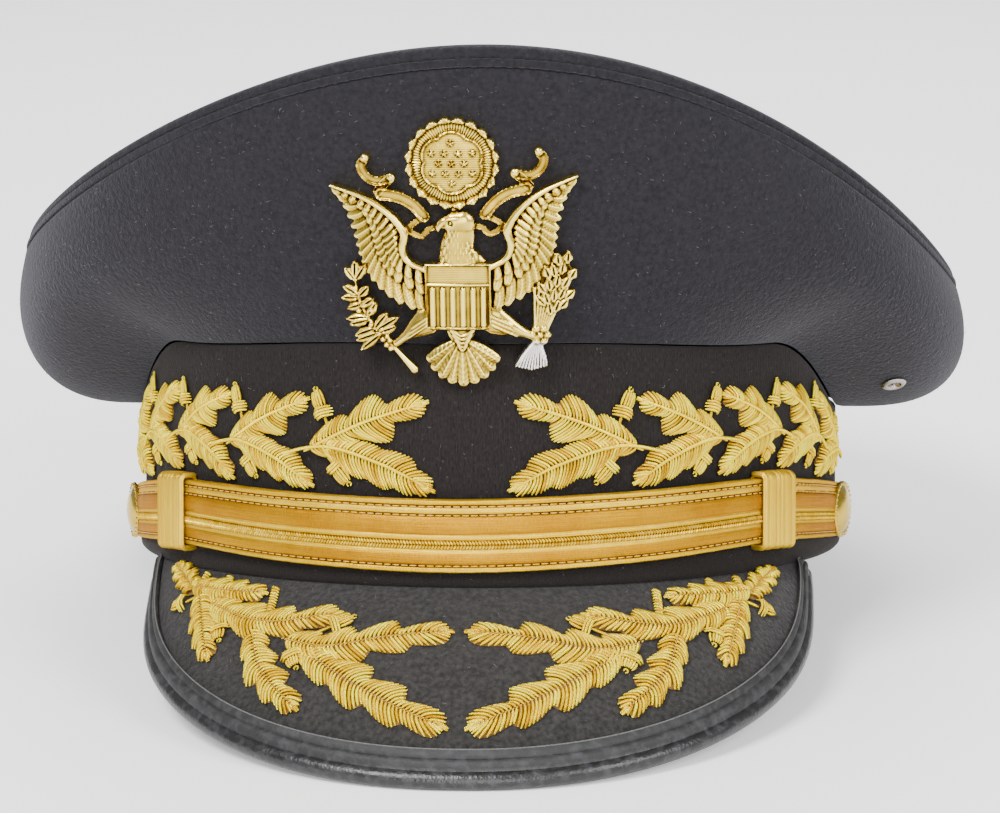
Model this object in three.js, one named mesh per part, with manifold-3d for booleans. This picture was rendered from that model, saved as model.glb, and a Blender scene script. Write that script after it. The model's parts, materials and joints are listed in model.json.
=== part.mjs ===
// Peaked dress cap with gold embroidery, gold lace chin strap and a pierced metal badge.
// Millimetres, +Z up, front towards -Y. Angles run round the head from the front, positive towards +X.
import * as THREE from 'three';
import { mergeVertices } from 'three/addons/utils/BufferGeometryUtils.js';
import Module from 'manifold-3d';

const wasm = await Module();
wasm.setup();
const { degToRad, radToDeg, lerp, smoothstep } = THREE.MathUtils;

// Clearances between neighbouring pieces
const seamGap = 0.3;
const holeGap = 0.3;
const drillLength = 17;

// Velvet band round the head
const bandHalfWidth = 87.2;
const bandHalfLength = 104;
const bandWall = 2.5;
const bandFrontHeight = 54.5;
const bandBackHeight = 34;
const bandShoulderDip = 2;
const bandShoulderStart = 15;
const bandShoulderEnd = 50;
const bandCornerStart = 54;
const bandCornerEnd = 86;

// Cloth crown: its wall, its rim and the roll of cloth at the rim
const crownWall = 2;
const rimHalfWidth = 115.5;
const rimFrontReach = 121;
const rimBackReach = 127;
const rimSideHeight = 71.5;
const rimFrontRise = 50;
const rimBackRise = 3;
const rimPeak = 1.7;
const crownSlump = 3.4;
const slumpTurn = 2.4;
const edgeTurn = 2.9;
const weltHeight = 1.8;
const weltBulge = 0.5;
const topSag = 2;

// How the crown's side leaves the band and meets the rim, in degrees above level and in mm of swing
const crownSpread = 1.3;
const sideLeaveAngle = -8;
const frontLeaveAngle = 72;
const sideArriveAngle = 110;
const frontArriveAngle = 78;
const sideLeaveSwing = 29;
const frontLeaveSwing = 20;
const sideArriveSwing = 25;
const frontArriveSwing = 22;

// Visor and its leather binding
const visorArc = 64;
const visorEndShare = 0.97;
const visorHalfWidth = 84;
const visorReach = 36;
const visorDrop = 40;
const visorShift = 1;
const visorThickness = 2;
const visorBow = 2.5;
const visorBowAngle = 50;
const visorSideCurl = 0.93;
const visorDropCurl = 0.66;
const visorCornerTuck = 0.055;
const visorCornerSharpness = 20;
const bindingWidth = 8.3;
const bindingLeather = 1;
const bindingMargin = 1.8;
const bindingGap = 0.5;
const beadRadius = 2.8;

// Gold lace chin strap, doubled across the front, with a woven slide near each end
const laceThickness = 1;
const strapEndHalfWidth = 6.3;
const strapFrontHalfWidth = 8.35;
const strapLean = 0.7;
const slideAngle = 52.8;
const slideLength = 14;
const slideWall = 1.2;
const slideBack = 0.5;
const strapTail = 4;
const strapFrontHeight = 11.4;

// Domed buttons that hold the strap
const buttonAngle = 79;
const buttonRadius = 7;
const buttonDome = 2.4;
const buttonEdge = 0.8;
const shankRadius = 1.5;
const shankWasherRadius = 4;
const shankWasherThickness = 1;
const strapEndLength = 8.5;

// Ventilation eyelets under the overhang
const eyeletHoleRadius = 1.4;
const eyeletWall = 0.5;
const eyeletFlange = 1.1;
const eyeletFlangeThickness = 0.6;
const eyeletInnerGap = 1.2;

// Gold wire embroidery
const goldHeight = 1.3;
const goldLayer = 0.12;
const leafHalfWidth = 6.4;
const unitLength = 29.2;
const sprayStart = 10.8;
const sprayShift = 2.2;
const sprayHigh = 45;
const sprayStrapGap = 1.6;
const slideClearTurn = 7;
const sprayTopGap = 2.5;
const visorLeafHalfWidth = 5.2;
const visorLayers = 5;

// Cast badge: its height, where it lies and how far each layer of relief stands
const badgeHeight = 63.5;
const badgeTailHeight = 44;
const badgeDiscHeight = 106;
const badgeBend = 140;
const badgePlate = 1.2;
const reliefLow = 1.9;
const reliefHigh = 2.6;
const reliefPeak = 3.1;
const badgePostRadius = 1.5;
const badgeNutRadius = 7;
const badgeNutThickness = 2;
const badgeNutGap = 0.8;

// Facets
const ringSteps = 48;
const visorSteps = 27;
const visorRows = 3;
const visorCrowding = 78;
const strapSteps = 24;
const buttonSides = 12;
const eyeletSides = 10;
const drillSides = 12;
const knotSides = 8;
const slideSteps = 3;
const pathStep = 0.02;

// Height of the strap's centre line, as shares of its height at the front.
// The first row mirrors the third, so that the line is level at the front.
const strapLine = [
  { angle: -25, height: 1.08 },
  { angle: 0, height: 1 },
  { angle: 25, height: 1.08 },
  { angle: 50, height: 1.17 },
  { angle: 65, height: 0.99 },
  { angle: 79, height: 0.77 },
  { angle: 92, height: 0.6 },
];

// Where the crown's wall is divided from the band, 0, to the rim, 1
const crownShares = [0, 0.16, 0.34, 0.52, 0.74, 1];

// One repeat of the band's spray, as shares of the unit's length and of the spray's height.
// along runs away from the front; width is a share of the leaf's half width.
const bandUnit = [
  { outline: 'leaf', path: [[1.0, 0.34], [0.5, 0.64], [0, 0.85]], width: 1 },
  { outline: 'leaf', path: [[1.22, 0.3], [0.79, 0.4], [0.3, 0.24], [-0.05, 0.02]], width: 0.8 },
  { outline: 'acorn', path: [[0.8, 0.6], [0.92, 1.0]], width: 0.36 },
  { outline: 'acorn', path: [[0.8, 0.3], [0.59, 0.01]], width: 0.34 },
];

// Lengths of the repeats from the front to the button, as shares of the first
const bandUnitScales = [1, 0.84, 0.78, 0.75, 0.73];

// The visor's spray, as shares of the visor's arc from the front and of its reach from the band
const visorSpray = [
  { outline: 'leaf', path: [[0.38, 0.4], [0.27, 0.4], [0.15, 0.32], [0.02, 0.27]], width: 0.9 },
  { outline: 'leaf', path: [[0.33, 0.43], [0.17, 0.59], [0.02, 0.74]], width: 1 },
  { outline: 'leaf', path: [[0.62, 0.31], [0.44, 0.33], [0.268, 0.205]], width: 0.9 },
  { outline: 'leaf', path: [[0.46, 0.38], [0.4, 0.58], [0.295, 0.73]], width: 0.85 },
  { outline: 'leaf', path: [[0.7, 0.24], [0.475, 0.145]], width: 0.75 },
  { outline: 'leaf', path: [[0.66, 0.28], [0.54, 0.64]], width: 0.75 },
  { outline: 'leaf', path: [[0.68, 0.28], [0.83, 0.1]], width: 0.55 },
  { outline: 'acorn', path: [[0.31, 0.34], [0.22, 0.2]], width: 0.4 },
  { outline: 'acorn', path: [[0.36, 0.4], [0.315, 0.55]], width: 0.4 },
  { outline: 'acorn', path: [[0.56, 0.38], [0.53, 0.53]], width: 0.36 },
  { outline: 'acorn', path: [[0.67, 0.3], [0.74, 0.52]], width: 0.36 },
  { outline: 'bud', path: [[0.43, 0.31], [0.455, 0.08]], width: 0.16 },
  { outline: 'bud', path: [[0.58, 0.24], [0.61, 0.05]], width: 0.16 },
  { outline: 'bud', path: [[0.68, 0.26], [0.69, 0.06]], width: 0.16 },
];

// Section of a button's dome, as shares of its radius and of the rise from its edge to its crest
const buttonCurve = [
  { radius: 1, rise: 0 },
  { radius: 0.8, rise: 0.6 },
  { radius: 0.45, rise: 0.93 },
  { radius: 0, rise: 1 },
];

// Section of the top's turned edge, as shares of the crown's wall inwards and of the turn downwards
const edgeCurve = [
  { inward: 1.3, drop: 0 },
  { inward: 0.4, drop: 0.1 },
  { inward: -0.1, drop: 0.45 },
];

// Corners of the binding's rolled bead, in degrees round it from the visor's inner side
const beadCorners = [65, 115, 180, -115, -65];

// Rows of the crown's top inside its edge, as shares of the way from its middle
const topReaches = [0, 0.65];

// Half widths from base to tip, as shares of the piece's own half width
const outlines = {
  leaf: [0.2, 0.85, 1, 0.9, 0.2],
  acorn: [0.5, 1, 0.3],
  bud: [0.9, 1, 0.8],
  quill: [0.6, 1],
  sprig: [0.3, 1, 0.2],
  ribbon: [1, 1, 1],
  bone: [0.6, 1, 1, 0.8],
  thigh: [1, 1, 0.4, 0.35],
  plume: [0.25, 0.6, 1, 0.5],
  sheaf: [0.3, 0.45, 1, 0.9],
  tassel: [0.3, 0.8, 1],
  stem: [1, 0.8, 0.7, 0.6, 0.5],
};

// The badge's outlines and paths, right-hand half where both halves are alike,
// in hundredths of the badge's height from the middle of the shield's top edge
const wingOutline = [
  [12, -9], [16, -7], [18, -2.5], [16.5, 2.2], [18.6, 6.8], [25, 14], [33, 18], [43, 22],
  [39, 16], [36, 9.5], [34.2, 0.8], [32.6, -7], [29.3, -13.4], [25, -18.5], [18.5, -23.5], [12, -25],
];
const wingRoots = [[36, 17], [28, 11], [25.5, 4], [25, -3], [22, -10], [16, -16]];
const wingTips = [[40, 17.5], [35.4, 8], [34, 0], [31.4, -9.5], [26, -17.5], [17.5, -23.8]];
const wingBone = [[37, 19.6], [25, 12], [18.4, 4], [19.5, -3], [14, -9.5]];
const quills = 6;
const quillHalfWidth = 2;
const wingBoneHalfWidth = 1.6;
const headOutline = [
  [-8.5, -9], [-6, -2], [-5, 2.2], [-6.8, 4.8], [-5.2, 8.4],
  [0, 13.5], [4.6, 9], [5.7, 4], [5.7, -1.2], [10.7, -9],
];
const shieldOutline = [[-12.3, -7.5], [11.3, -7.5], [11.3, -30.5], [-0.5, -34], [-12.3, -30.5]];
const chiefOutline = [[-11, -9], [10, -9], [10, -16], [-11, -16]];
const barCount = 6;
const barPitch = 3.5;
const barHalfWidth = 0.85;
const barEnds = [-17.5, -31];
const shieldMiddle = -0.5;
const discCentre = [-1, 28];
const discRadius = 16.9;
const discInnerRadius = 14.4;
const discBeads = 20;
const beadDip = 0.94;
const glowRadius = 10.4;
const glowLobes = 6;
const glowDip = 0.9;
const ribbonPaths = [
  [[28.5, 32], [31, 27.5], [27.5, 23.5], [21, 24]],
  [[21, 24], [25, 21.5], [29, 17.5]],
  [[28, 18], [18.5, 17], [10, 10]],
  [[10, 10], [14.5, 7], [11, 1.5], [4, 3]],
];
const ribbonHalfWidths = [1.7, 1.5, 2.3, 1.6];
const thighPath = [[9, -26.5], [17, -31], [24, -38]];
const thighHalfWidth = 4;
const tailCentre = [1, -31];
const tailFeathers = 7;
const tailSpread = 48;
const tailLength = 23.8;
const tailSideLength = 18.5;
const tailHalfWidth = 3;
const stemPath = [[-15.5, -49.5], [-23, -40.5], [-31, -31], [-35, -21], [-36.2, -12]];
const stemHalfWidth = 1.4;
const sprigs = [
  [[-34, -24], [-41, -21.8]], [[-34.5, -22], [-30, -17.5]], [[-32.5, -28.5], [-40, -30.4]],
  [[-32.5, -28.5], [-28.5, -23.5]], [[-28, -34.5], [-21.2, -29.1]], [[-29, -34], [-37, -40]],
  [[-35.6, -16], [-39.8, -11.5]], [[-36, -14.5], [-36.3, -8]], [[-35.8, -15.5], [-31.6, -11]],
];
const sprigHalfWidth = 2;
const sheafPath = [[28.5, -35], [33.5, -13]];
const sheafHalfWidth = 6.3;
const arrowTips = [[41.4, -12.5], [38.3, -4.5], [34.2, -3.8], [41, -18.5], [27, -18.5], [30.6, -8.8]];
const arrowRoot = [33.5, -20];
const arrowHalfWidth = 2;
const knotCentre = [28.4, -35.5];
const knotRadius = 4.2;
const tasselPath = [[28, -37], [26, -49.2]];
const tasselHalfWidth = 5.6;
const badgePostPlace = [-0.5, -20];
const badgeTailReach = 54.8;

// Unit vector in plan that points out of the band at an angle
function planNormal(angle) {
  const normal = new THREE.Vector3(Math.sin(angle) / bandHalfWidth, -Math.cos(angle) / bandHalfLength, 0);
  return normal.normalize();
}

// Direction in the upright plane at an angle, given degrees above level
function upright(angle, degrees) {
  const level = planNormal(angle).multiplyScalar(Math.cos(degToRad(degrees)));
  return level.setZ(Math.sin(degToRad(degrees)));
}

function bandOval(angle, out, height) {
  const x = (bandHalfWidth + out) * Math.sin(angle);
  const y = -(bandHalfLength + out) * Math.cos(angle);
  return new THREE.Vector3(x, y, height);
}

function turnFromFront(angle) {
  return Math.abs(radToDeg(Math.atan2(Math.sin(angle), Math.cos(angle))));
}

function bandTop(angle) {
  const turn = turnFromFront(angle);
  const shoulder = bandFrontHeight - bandShoulderDip * smoothstep(turn, bandShoulderStart, bandShoulderEnd);
  return lerp(shoulder, bandBackHeight, smoothstep(turn, bandCornerStart, bandCornerEnd));
}

// Angle on the band at a distance along it from the front
function bandAngle(distance) {
  const steps = 40;
  let angle = 0;
  for (let step = 0; step < steps; step += 1) {
    const speed = Math.hypot(bandHalfWidth * Math.cos(angle), bandHalfLength * Math.sin(angle));
    angle += distance / steps / speed;
  }
  return angle;
}

function crownFront(angle) {
  return Math.max(Math.cos(angle), 0) ** crownSpread;
}

function rimPoint(angle) {
  const front = Math.max(Math.cos(angle), 0);
  const back = Math.max(-Math.cos(angle), 0);
  const reach = Math.cos(angle) > 0 ? rimFrontReach : rimBackReach;
  const slump = crownSlump * Math.sin(angle) * (slumpTurn * front * front - 1);
  const height = rimSideHeight + rimFrontRise * front ** rimPeak + rimBackRise * back * back + slump;
  return new THREE.Vector3(rimHalfWidth * Math.sin(angle), -reach * Math.cos(angle), height);
}

// Point of the rim's cloth roll, rise above the rim's crest and out from it
function rimRoll(angle, rise, out) {
  const arrive = lerp(sideArriveAngle, frontArriveAngle, crownFront(angle));
  const point = rimPoint(angle);
  point.addScaledVector(upright(angle, arrive), rise);
  return point.addScaledVector(upright(angle, arrive - 90), out);
}

// The crown's side in one upright section, from the band's top edge to the rim's welt
function crownCurve(angle) {
  const front = crownFront(angle);
  const foot = bandOval(angle, 0, bandTop(angle) + seamGap);
  const head = rimRoll(angle, -edgeTurn - weltHeight, 0);
  const leave = upright(angle, lerp(sideLeaveAngle, frontLeaveAngle, front));
  const arrive = upright(angle, lerp(sideArriveAngle, frontArriveAngle, front));
  const footHandle = foot.clone().addScaledVector(leave, lerp(sideLeaveSwing, frontLeaveSwing, front));
  const headHandle = head.clone().addScaledVector(arrive, -lerp(sideArriveSwing, frontArriveSwing, front));
  return new THREE.CubicBezierCurve3(foot, footHandle, headHandle, head);
}

// Outer edge of the visor, drawn through the band's own corner points
function visorEdge(angle) {
  const swing = (angle / degToRad(visorArc)) * (Math.PI / 2);
  const side = Math.sin(swing);
  const front = Math.max(Math.cos(swing), 0);
  const tuck = 1 - visorCornerTuck * Math.abs(side) ** visorCornerSharpness;
  const x = visorShift + visorHalfWidth * Math.sign(side) * Math.abs(side) ** visorSideCurl * tuck;
  const corner = bandHalfLength * Math.cos(degToRad(visorArc));
  const y = -lerp(corner, bandHalfLength + visorReach, front);
  return new THREE.Vector3(x, y, -seamGap - visorDrop * front ** visorDropCurl);
}

function visorPoint(angle, share) {
  const point = bandOval(angle, 0, -seamGap).lerp(visorEdge(angle), share);
  const bow = 4 * share * (1 - share) * visorBow;
  point.y -= bow * Math.cos(degToRad(visorBowAngle));
  point.z += bow * Math.sin(degToRad(visorBowAngle));
  return point;
}

// A curved surface with two coordinates, and the direction that points out of it
class Sheet {
  constructor(at, facing) {
    this.at = at;
    this.facing = facing;
  }

  normal(first, second) {
    const step = 0.001;
    const along = this.at(first + step, second).sub(this.at(first - step, second));
    const across = this.at(first, second + step).sub(this.at(first, second - step));
    return along.cross(across).normalize().multiplyScalar(this.facing);
  }

  place(first, second, out) {
    return this.at(first, second).addScaledVector(this.normal(first, second), out);
  }
}

const bandSheet = new Sheet((angle, height) => bandOval(angle, 0, height), 1);
const crownSheet = new Sheet((angle, share) => crownCurve(angle).getPoint(share), 1);
const visorSheet = new Sheet(visorPoint, -1);
const badgeSheet = new Sheet((x, y) => new THREE.Vector3(x, y, 0), 1);

// Keeps positions only, joins shared corners and turns every face outwards
function tidied(geometry) {
  geometry.deleteAttribute('normal');
  geometry.deleteAttribute('uv');
  const merged = mergeVertices(geometry, 1e-4);
  const index = merged.index.array;
  const points = [0, 1, 2].map(() => new THREE.Vector3());
  let volume = 0;
  for (let face = 0; face < index.length; face += 3) {
    points.forEach((point, corner) => {
      point.fromBufferAttribute(merged.attributes.position, index[face + corner]);
    });
    volume += points[0].dot(points[1].cross(points[2]));
  }
  if (volume < 0) {
    for (let face = 0; face < index.length; face += 3) {
      [index[face + 1], index[face + 2]] = [index[face + 2], index[face + 1]];
    }
  }
  return merged;
}

// Moves every corner of a geometry to the place that a function gives it
function moulded(geometry, place) {
  const position = geometry.attributes.position;
  const corner = new THREE.Vector3();
  for (let vertex = 0; vertex < position.count; vertex += 1) {
    corner.fromBufferAttribute(position, vertex);
    const moved = place(corner, vertex);
    position.setXYZ(vertex, moved.x, moved.y, moved.z);
  }
  return tidied(geometry);
}

// A ring round the head: each row of the section is placed at every angle
function ring(rows, place) {
  const profile = rows.map((row, number) => new THREE.Vector2(1, number));
  const geometry = new THREE.LatheGeometry(profile, ringSteps);
  return moulded(geometry, (corner, vertex) => {
    const step = Math.floor(vertex / rows.length) % ringSteps;
    const angle = ((step + 0.5) / ringSteps) * 2 * Math.PI;
    return place(rows[vertex % rows.length], angle);
  });
}

function closedRing(rows, place) {
  return ring([...rows, rows[0]], place);
}

// A bar of rectangular section bent onto a sheet along a path, with a half width at each step
function strip(sheet, path, halfWidths, low, high) {
  const curve = new THREE.SplineCurve(path.map(([first, second]) => new THREE.Vector2(first, second)));
  const steps = halfWidths.length - 1;
  const geometry = new THREE.BoxGeometry(1, 1, 1, steps, 1, 1);
  const centre = (share) => sheet.at(...curve.getPoint(share).toArray());
  return moulded(geometry, (corner) => {
    const share = corner.x + 0.5;
    const normal = sheet.normal(...curve.getPoint(share).toArray());
    const near = Math.max(share - pathStep, 0);
    const far = Math.min(share + pathStep, 1);
    const across = normal.clone().cross(centre(far).sub(centre(near))).normalize();
    const lift = corner.z < 0 ? low : high;
    const reach = 2 * corner.y * halfWidths[Math.round(share * steps)];
    return centre(share).addScaledVector(across, reach).addScaledVector(normal, lift);
  });
}

// A flat plate of the badge from an outline, standing between two heights
function plate(outline, low, high) {
  const shape = new THREE.Shape(outline.map(([x, y]) => new THREE.Vector2(x, y)));
  const geometry = new THREE.ExtrudeGeometry(shape, { depth: high - low, steps: 1, bevelEnabled: false });
  geometry.translate(0, 0, low);
  return tidied(geometry);
}

function asSolid(geometry) {
  const mesh = new wasm.Mesh({
    numProp: 3,
    vertProperties: new Float32Array(geometry.attributes.position.array),
    triVerts: new Uint32Array(geometry.index.array),
  });
  return new wasm.Manifold(mesh);
}

function asGeometry(solid) {
  const mesh = solid.getMesh();
  const geometry = new THREE.BufferGeometry();
  geometry.setAttribute('position', new THREE.BufferAttribute(new Float32Array(mesh.vertProperties), 3));
  geometry.setIndex(new THREE.BufferAttribute(new Uint32Array(mesh.triVerts), 1));
  return geometry;
}

function joined(geometries) {
  return asGeometry(geometries.map(asSolid).reduce((whole, piece) => whole.add(piece)));
}

function cut(geometry, tools) {
  return asGeometry(tools.map(asSolid).reduce((whole, tool) => whole.subtract(tool), asSolid(geometry)));
}

// Turns a geometry's +Z onto a direction and moves its origin to a point
function aimed(geometry, point, direction) {
  const turn = new THREE.Quaternion().setFromUnitVectors(new THREE.Vector3(0, 0, 1), direction);
  return geometry.applyQuaternion(turn).translate(point.x, point.y, point.z);
}

// A round turned piece with its axis along +Z, from radius and height pairs
function turned(profile, sides) {
  const points = profile.map(([radius, height]) => new THREE.Vector2(radius, height));
  return new THREE.LatheGeometry(points, sides).rotateX(Math.PI / 2);
}

// A round tool long enough to go through the strap and the wall behind it
function drill(radius, point, direction) {
  const geometry = new THREE.CylinderGeometry(radius, radius, drillLength, drillSides).rotateX(Math.PI / 2);
  return tidied(aimed(geometry, point, direction));
}

const materials = {
  wool: { color: 0x3a3840, roughness: 0.95, metalness: 0 },
  velvet: { color: 0x1c1819, roughness: 1, metalness: 0 },
  leather: { color: 0x222226, roughness: 0.35, metalness: 0 },
  bullion: { color: 0xd9a032, roughness: 0.4, metalness: 0.8 },
  lace: { color: 0xc98f3a, roughness: 0.55, metalness: 0.5 },
  brass: { color: 0xc9ad62, roughness: 0.3, metalness: 1 },
};

function piece(name, material, geometry) {
  geometry.computeVertexNormals();
  const mesh = new THREE.Mesh(geometry, new THREE.MeshStandardMaterial(materials[material]));
  mesh.name = name;
  return mesh;
}

const sides = [
  { name: 'left', sign: -1, eyeletAngle: -104, eyeletShare: 0.36 },
  { name: 'right', sign: 1, eyeletAngle: 76, eyeletShare: 0.24 },
];

// Chin strap: one layer lies on the band, the other on the first
const innerLow = seamGap + slideBack + seamGap;
const innerHigh = innerLow + laceThickness;
const outerLow = innerHigh + seamGap;
const outerHigh = outerLow + laceThickness;
const strapShares = new THREE.CubicInterpolant(
  strapLine.map((row) => row.angle),
  strapLine.map((row) => row.height),
  1,
);

function strapHeight(angle) {
  const [share] = strapShares.evaluate(turnFromFront(angle));
  return share * strapFrontHeight + strapLean * Math.sin(angle);
}

function strapHalfWidth(angle) {
  return lerp(strapEndHalfWidth, strapFrontHalfWidth, Math.max(Math.cos(angle), 0));
}

// Turn round the head that a distance along the band makes near an angle
function turnFor(angle, distance) {
  return distance / Math.hypot(bandHalfWidth * Math.cos(angle), bandHalfLength * Math.sin(angle));
}

function strapEnd() {
  const angle = degToRad(buttonAngle);
  return angle + turnFor(angle, strapEndLength);
}

function outerEnd() {
  const angle = degToRad(slideAngle);
  return angle + turnFor(angle, slideLength / 2 + strapTail);
}

function strapLayer(endAngle, low, high) {
  const geometry = new THREE.BoxGeometry(1, 1, 1, strapSteps, 1, 1);
  return moulded(geometry, (corner) => {
    const angle = 2 * corner.x * endAngle;
    const height = strapHeight(angle) + 2 * corner.y * strapHalfWidth(angle);
    return bandSheet.place(angle, height, lerp(low, high, corner.z + 0.5));
  });
}

// Corners of a slide's loop: height from the strap's centre line, and distance out of the band
function slideLoop(halfHeight, back, front) {
  const corners = [[-halfHeight, back], [halfHeight, back], [halfHeight, front], [-halfHeight, front]];
  return corners.map(([height, out]) => new THREE.Vector2(height, out));
}

// Woven loop round both layers of the strap
function slide(sign) {
  const centre = sign * degToRad(slideAngle);
  const hole = strapHalfWidth(centre) + seamGap;
  const loop = new THREE.Shape(slideLoop(hole + slideWall, seamGap, outerHigh + seamGap + slideWall));
  loop.holes.push(new THREE.Path(slideLoop(hole, innerLow - seamGap, outerHigh + seamGap)));
  const geometry = new THREE.ExtrudeGeometry(loop, { depth: 1, steps: slideSteps, bevelEnabled: false });
  return moulded(geometry, (corner) => {
    const angle = centre + turnFor(centre, (corner.z - 0.5) * slideLength);
    return bandSheet.place(angle, strapHeight(angle) + corner.x, corner.y);
  });
}

// A point on the band and the way out of it, where a button's shank goes through
function shankSeat(sign) {
  const angle = sign * degToRad(buttonAngle);
  const height = strapHeight(angle);
  return { point: bandSheet.at(angle, height), direction: bandSheet.normal(angle, height) };
}

function button(sign) {
  const washer = -bandWall - seamGap;
  const back = innerHigh + seamGap;
  const profile = [
    [0, washer - shankWasherThickness],
    [shankWasherRadius, washer - shankWasherThickness],
    [shankWasherRadius, washer],
    [shankRadius, washer],
    [shankRadius, back],
    [buttonRadius, back],
    ...buttonCurve.map((row) => [row.radius * buttonRadius, back + lerp(buttonEdge, buttonDome, row.rise)]),
  ];
  const { point, direction } = shankSeat(sign);
  return tidied(aimed(turned(profile, buttonSides), point, direction));
}

const shankDrills = [-1, 1].map((sign) => {
  const { point, direction } = shankSeat(sign);
  return drill(shankRadius + holeGap, point, direction);
});

const band = closedRing(
  [
    { out: 0, top: false },
    { out: 0, top: true },
    { out: -bandWall, top: true },
    { out: -bandWall, top: false },
  ],
  (row, angle) => bandOval(angle, row.out, row.top ? bandTop(angle) : 0),
);

// Crown's side, with holes for the badge's post and for the eyelets
const crownRows = [
  ...crownShares.map((share) => ({ share, depth: 0 })),
  ...crownShares.toReversed().map((share) => ({ share, depth: crownWall })),
];
const crownSide = closedRing(crownRows, (row, angle) => crownSheet.place(angle, row.share, -row.depth));

function eyeletSeat(side) {
  const angle = degToRad(side.eyeletAngle);
  const point = crownSheet.at(angle, side.eyeletShare);
  return { point, direction: crownSheet.normal(angle, side.eyeletShare) };
}

function eyelet(side) {
  const barrel = eyeletHoleRadius + eyeletWall;
  const flange = barrel + eyeletFlange;
  const top = seamGap + eyeletFlangeThickness;
  const bottom = -crownWall - eyeletInnerGap - eyeletFlangeThickness;
  const profile = [
    [eyeletHoleRadius, bottom],
    [flange, bottom],
    [flange, bottom + eyeletFlangeThickness],
    [barrel, bottom + eyeletFlangeThickness],
    [barrel, top - eyeletFlangeThickness],
    [flange, top - eyeletFlangeThickness],
    [eyeletHoleRadius, top],
    [eyeletHoleRadius, bottom],
  ];
  const { point, direction } = eyeletSeat(side);
  return tidied(aimed(turned(profile, eyeletSides), point, direction));
}

const eyeletDrills = sides.map((side) => {
  const { point, direction } = eyeletSeat(side);
  return drill(eyeletHoleRadius + eyeletWall + holeGap, point, direction);
});

// Rolled welt between the two rows of stitches below the rim
const weltFoot = -edgeTurn - weltHeight + seamGap;
const weltRows = [
  { rise: weltFoot, out: 0 },
  { rise: (weltFoot - edgeTurn) / 2, out: weltBulge },
  { rise: -edgeTurn, out: 0 },
  { rise: -edgeTurn, out: -crownWall },
  { rise: weltFoot, out: -crownWall },
];
const welt = closedRing(weltRows, (row, angle) => rimRoll(angle, row.rise, row.out));

// Crown's top: cloth stretched over the rim, whose edge turns down to the welt
const edgeRows = [
  ...edgeCurve.map((row) => ({ rise: -row.drop * edgeTurn, out: -row.inward * crownWall })),
  { rise: -edgeTurn + seamGap, out: 0 },
  { rise: -edgeTurn + seamGap, out: -crownWall },
];
const hoop = Array.from({ length: ringSteps }, (_, step) => {
  const angle = (step / ringSteps) * 2 * Math.PI;
  return { angle, point: rimRoll(angle, edgeRows[0].rise, edgeRows[0].out) };
});
const mean = (value) => hoop.reduce((sum, entry) => sum + value(entry), 0) / ringSteps;
const hoopLevel = mean(({ point }) => point.z);
const hoopPitch = 2 * mean(({ angle, point }) => point.z * Math.cos(angle));
const hoopRoll = 2 * mean(({ angle, point }) => point.z * Math.sin(angle));
const hoopCentre = mean(({ point }) => point.y);

// Stretched cloth follows the hoop's slope right across, and its curl only near the hoop
function topPoint(angle, reach) {
  const point = rimRoll(angle, edgeRows[0].rise, edgeRows[0].out);
  const slope = hoopPitch * Math.cos(angle) + hoopRoll * Math.sin(angle);
  const curl = point.z - hoopLevel - slope;
  const height = hoopLevel + reach * slope + reach ** 3 * curl - topSag * (1 - reach * reach);
  return new THREE.Vector3(point.x * reach, lerp(hoopCentre, point.y, reach), height);
}

const topRows = [
  ...topReaches.map((reach) => ({ reach, depth: 0 })),
  ...edgeRows,
  { reach: 1, depth: crownWall },
  ...topReaches.toReversed().map((reach) => ({ reach, depth: crownWall })),
];
const crownTop = ring(topRows, (row, angle) => {
  if (row.reach === undefined) {
    return rimRoll(angle, row.rise, row.out);
  }
  const point = topPoint(angle, row.reach);
  return point.setZ(point.z - row.depth);
});

// Visor: a bowed sheet whose leather binding folds over its edge
const visorEnd = degToRad(visorArc) * visorEndShare;

// Angle for a share across the visor, from -1 to 1, closer together where it runs out into the band
function visorAngle(share) {
  const crowding = degToRad(visorCrowding);
  return (visorEnd * Math.sin(share * crowding)) / Math.sin(crowding);
}

function visorLength(angle) {
  return visorPoint(angle, 0).distanceTo(visorPoint(angle, 1));
}

// The sheet and its binding grow thinner where the visor runs out into the band
function visorTaper(angle) {
  return Math.min(1, visorLength(angle) / (bindingWidth + bindingMargin));
}

// A place on the visor: distance in from its edge, and distance out of its upper face
function visorPlace(angle, inward, out) {
  const taper = visorTaper(angle);
  const share = 1 - (inward * taper) / visorLength(angle);
  return visorSheet.place(angle, share, out * taper);
}

// Rows across the visor, from its edge inside the binding to the band
const slotDepth = beadRadius;
const visorGeometry = new THREE.BoxGeometry(1, 1, 1, visorSteps, visorRows, 1);
const visor = moulded(visorGeometry, (corner) => {
  const angle = visorAngle(2 * corner.x);
  const row = Math.round((corner.y + 0.5) * visorRows);
  const span = visorLength(angle) / visorTaper(angle);
  const middle = (span + bindingWidth) / 2;
  const inward = [slotDepth + seamGap, bindingWidth, middle, span][row];
  return visorPlace(angle, inward, corner.z > 0 ? 0 : -visorThickness);
});

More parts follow.
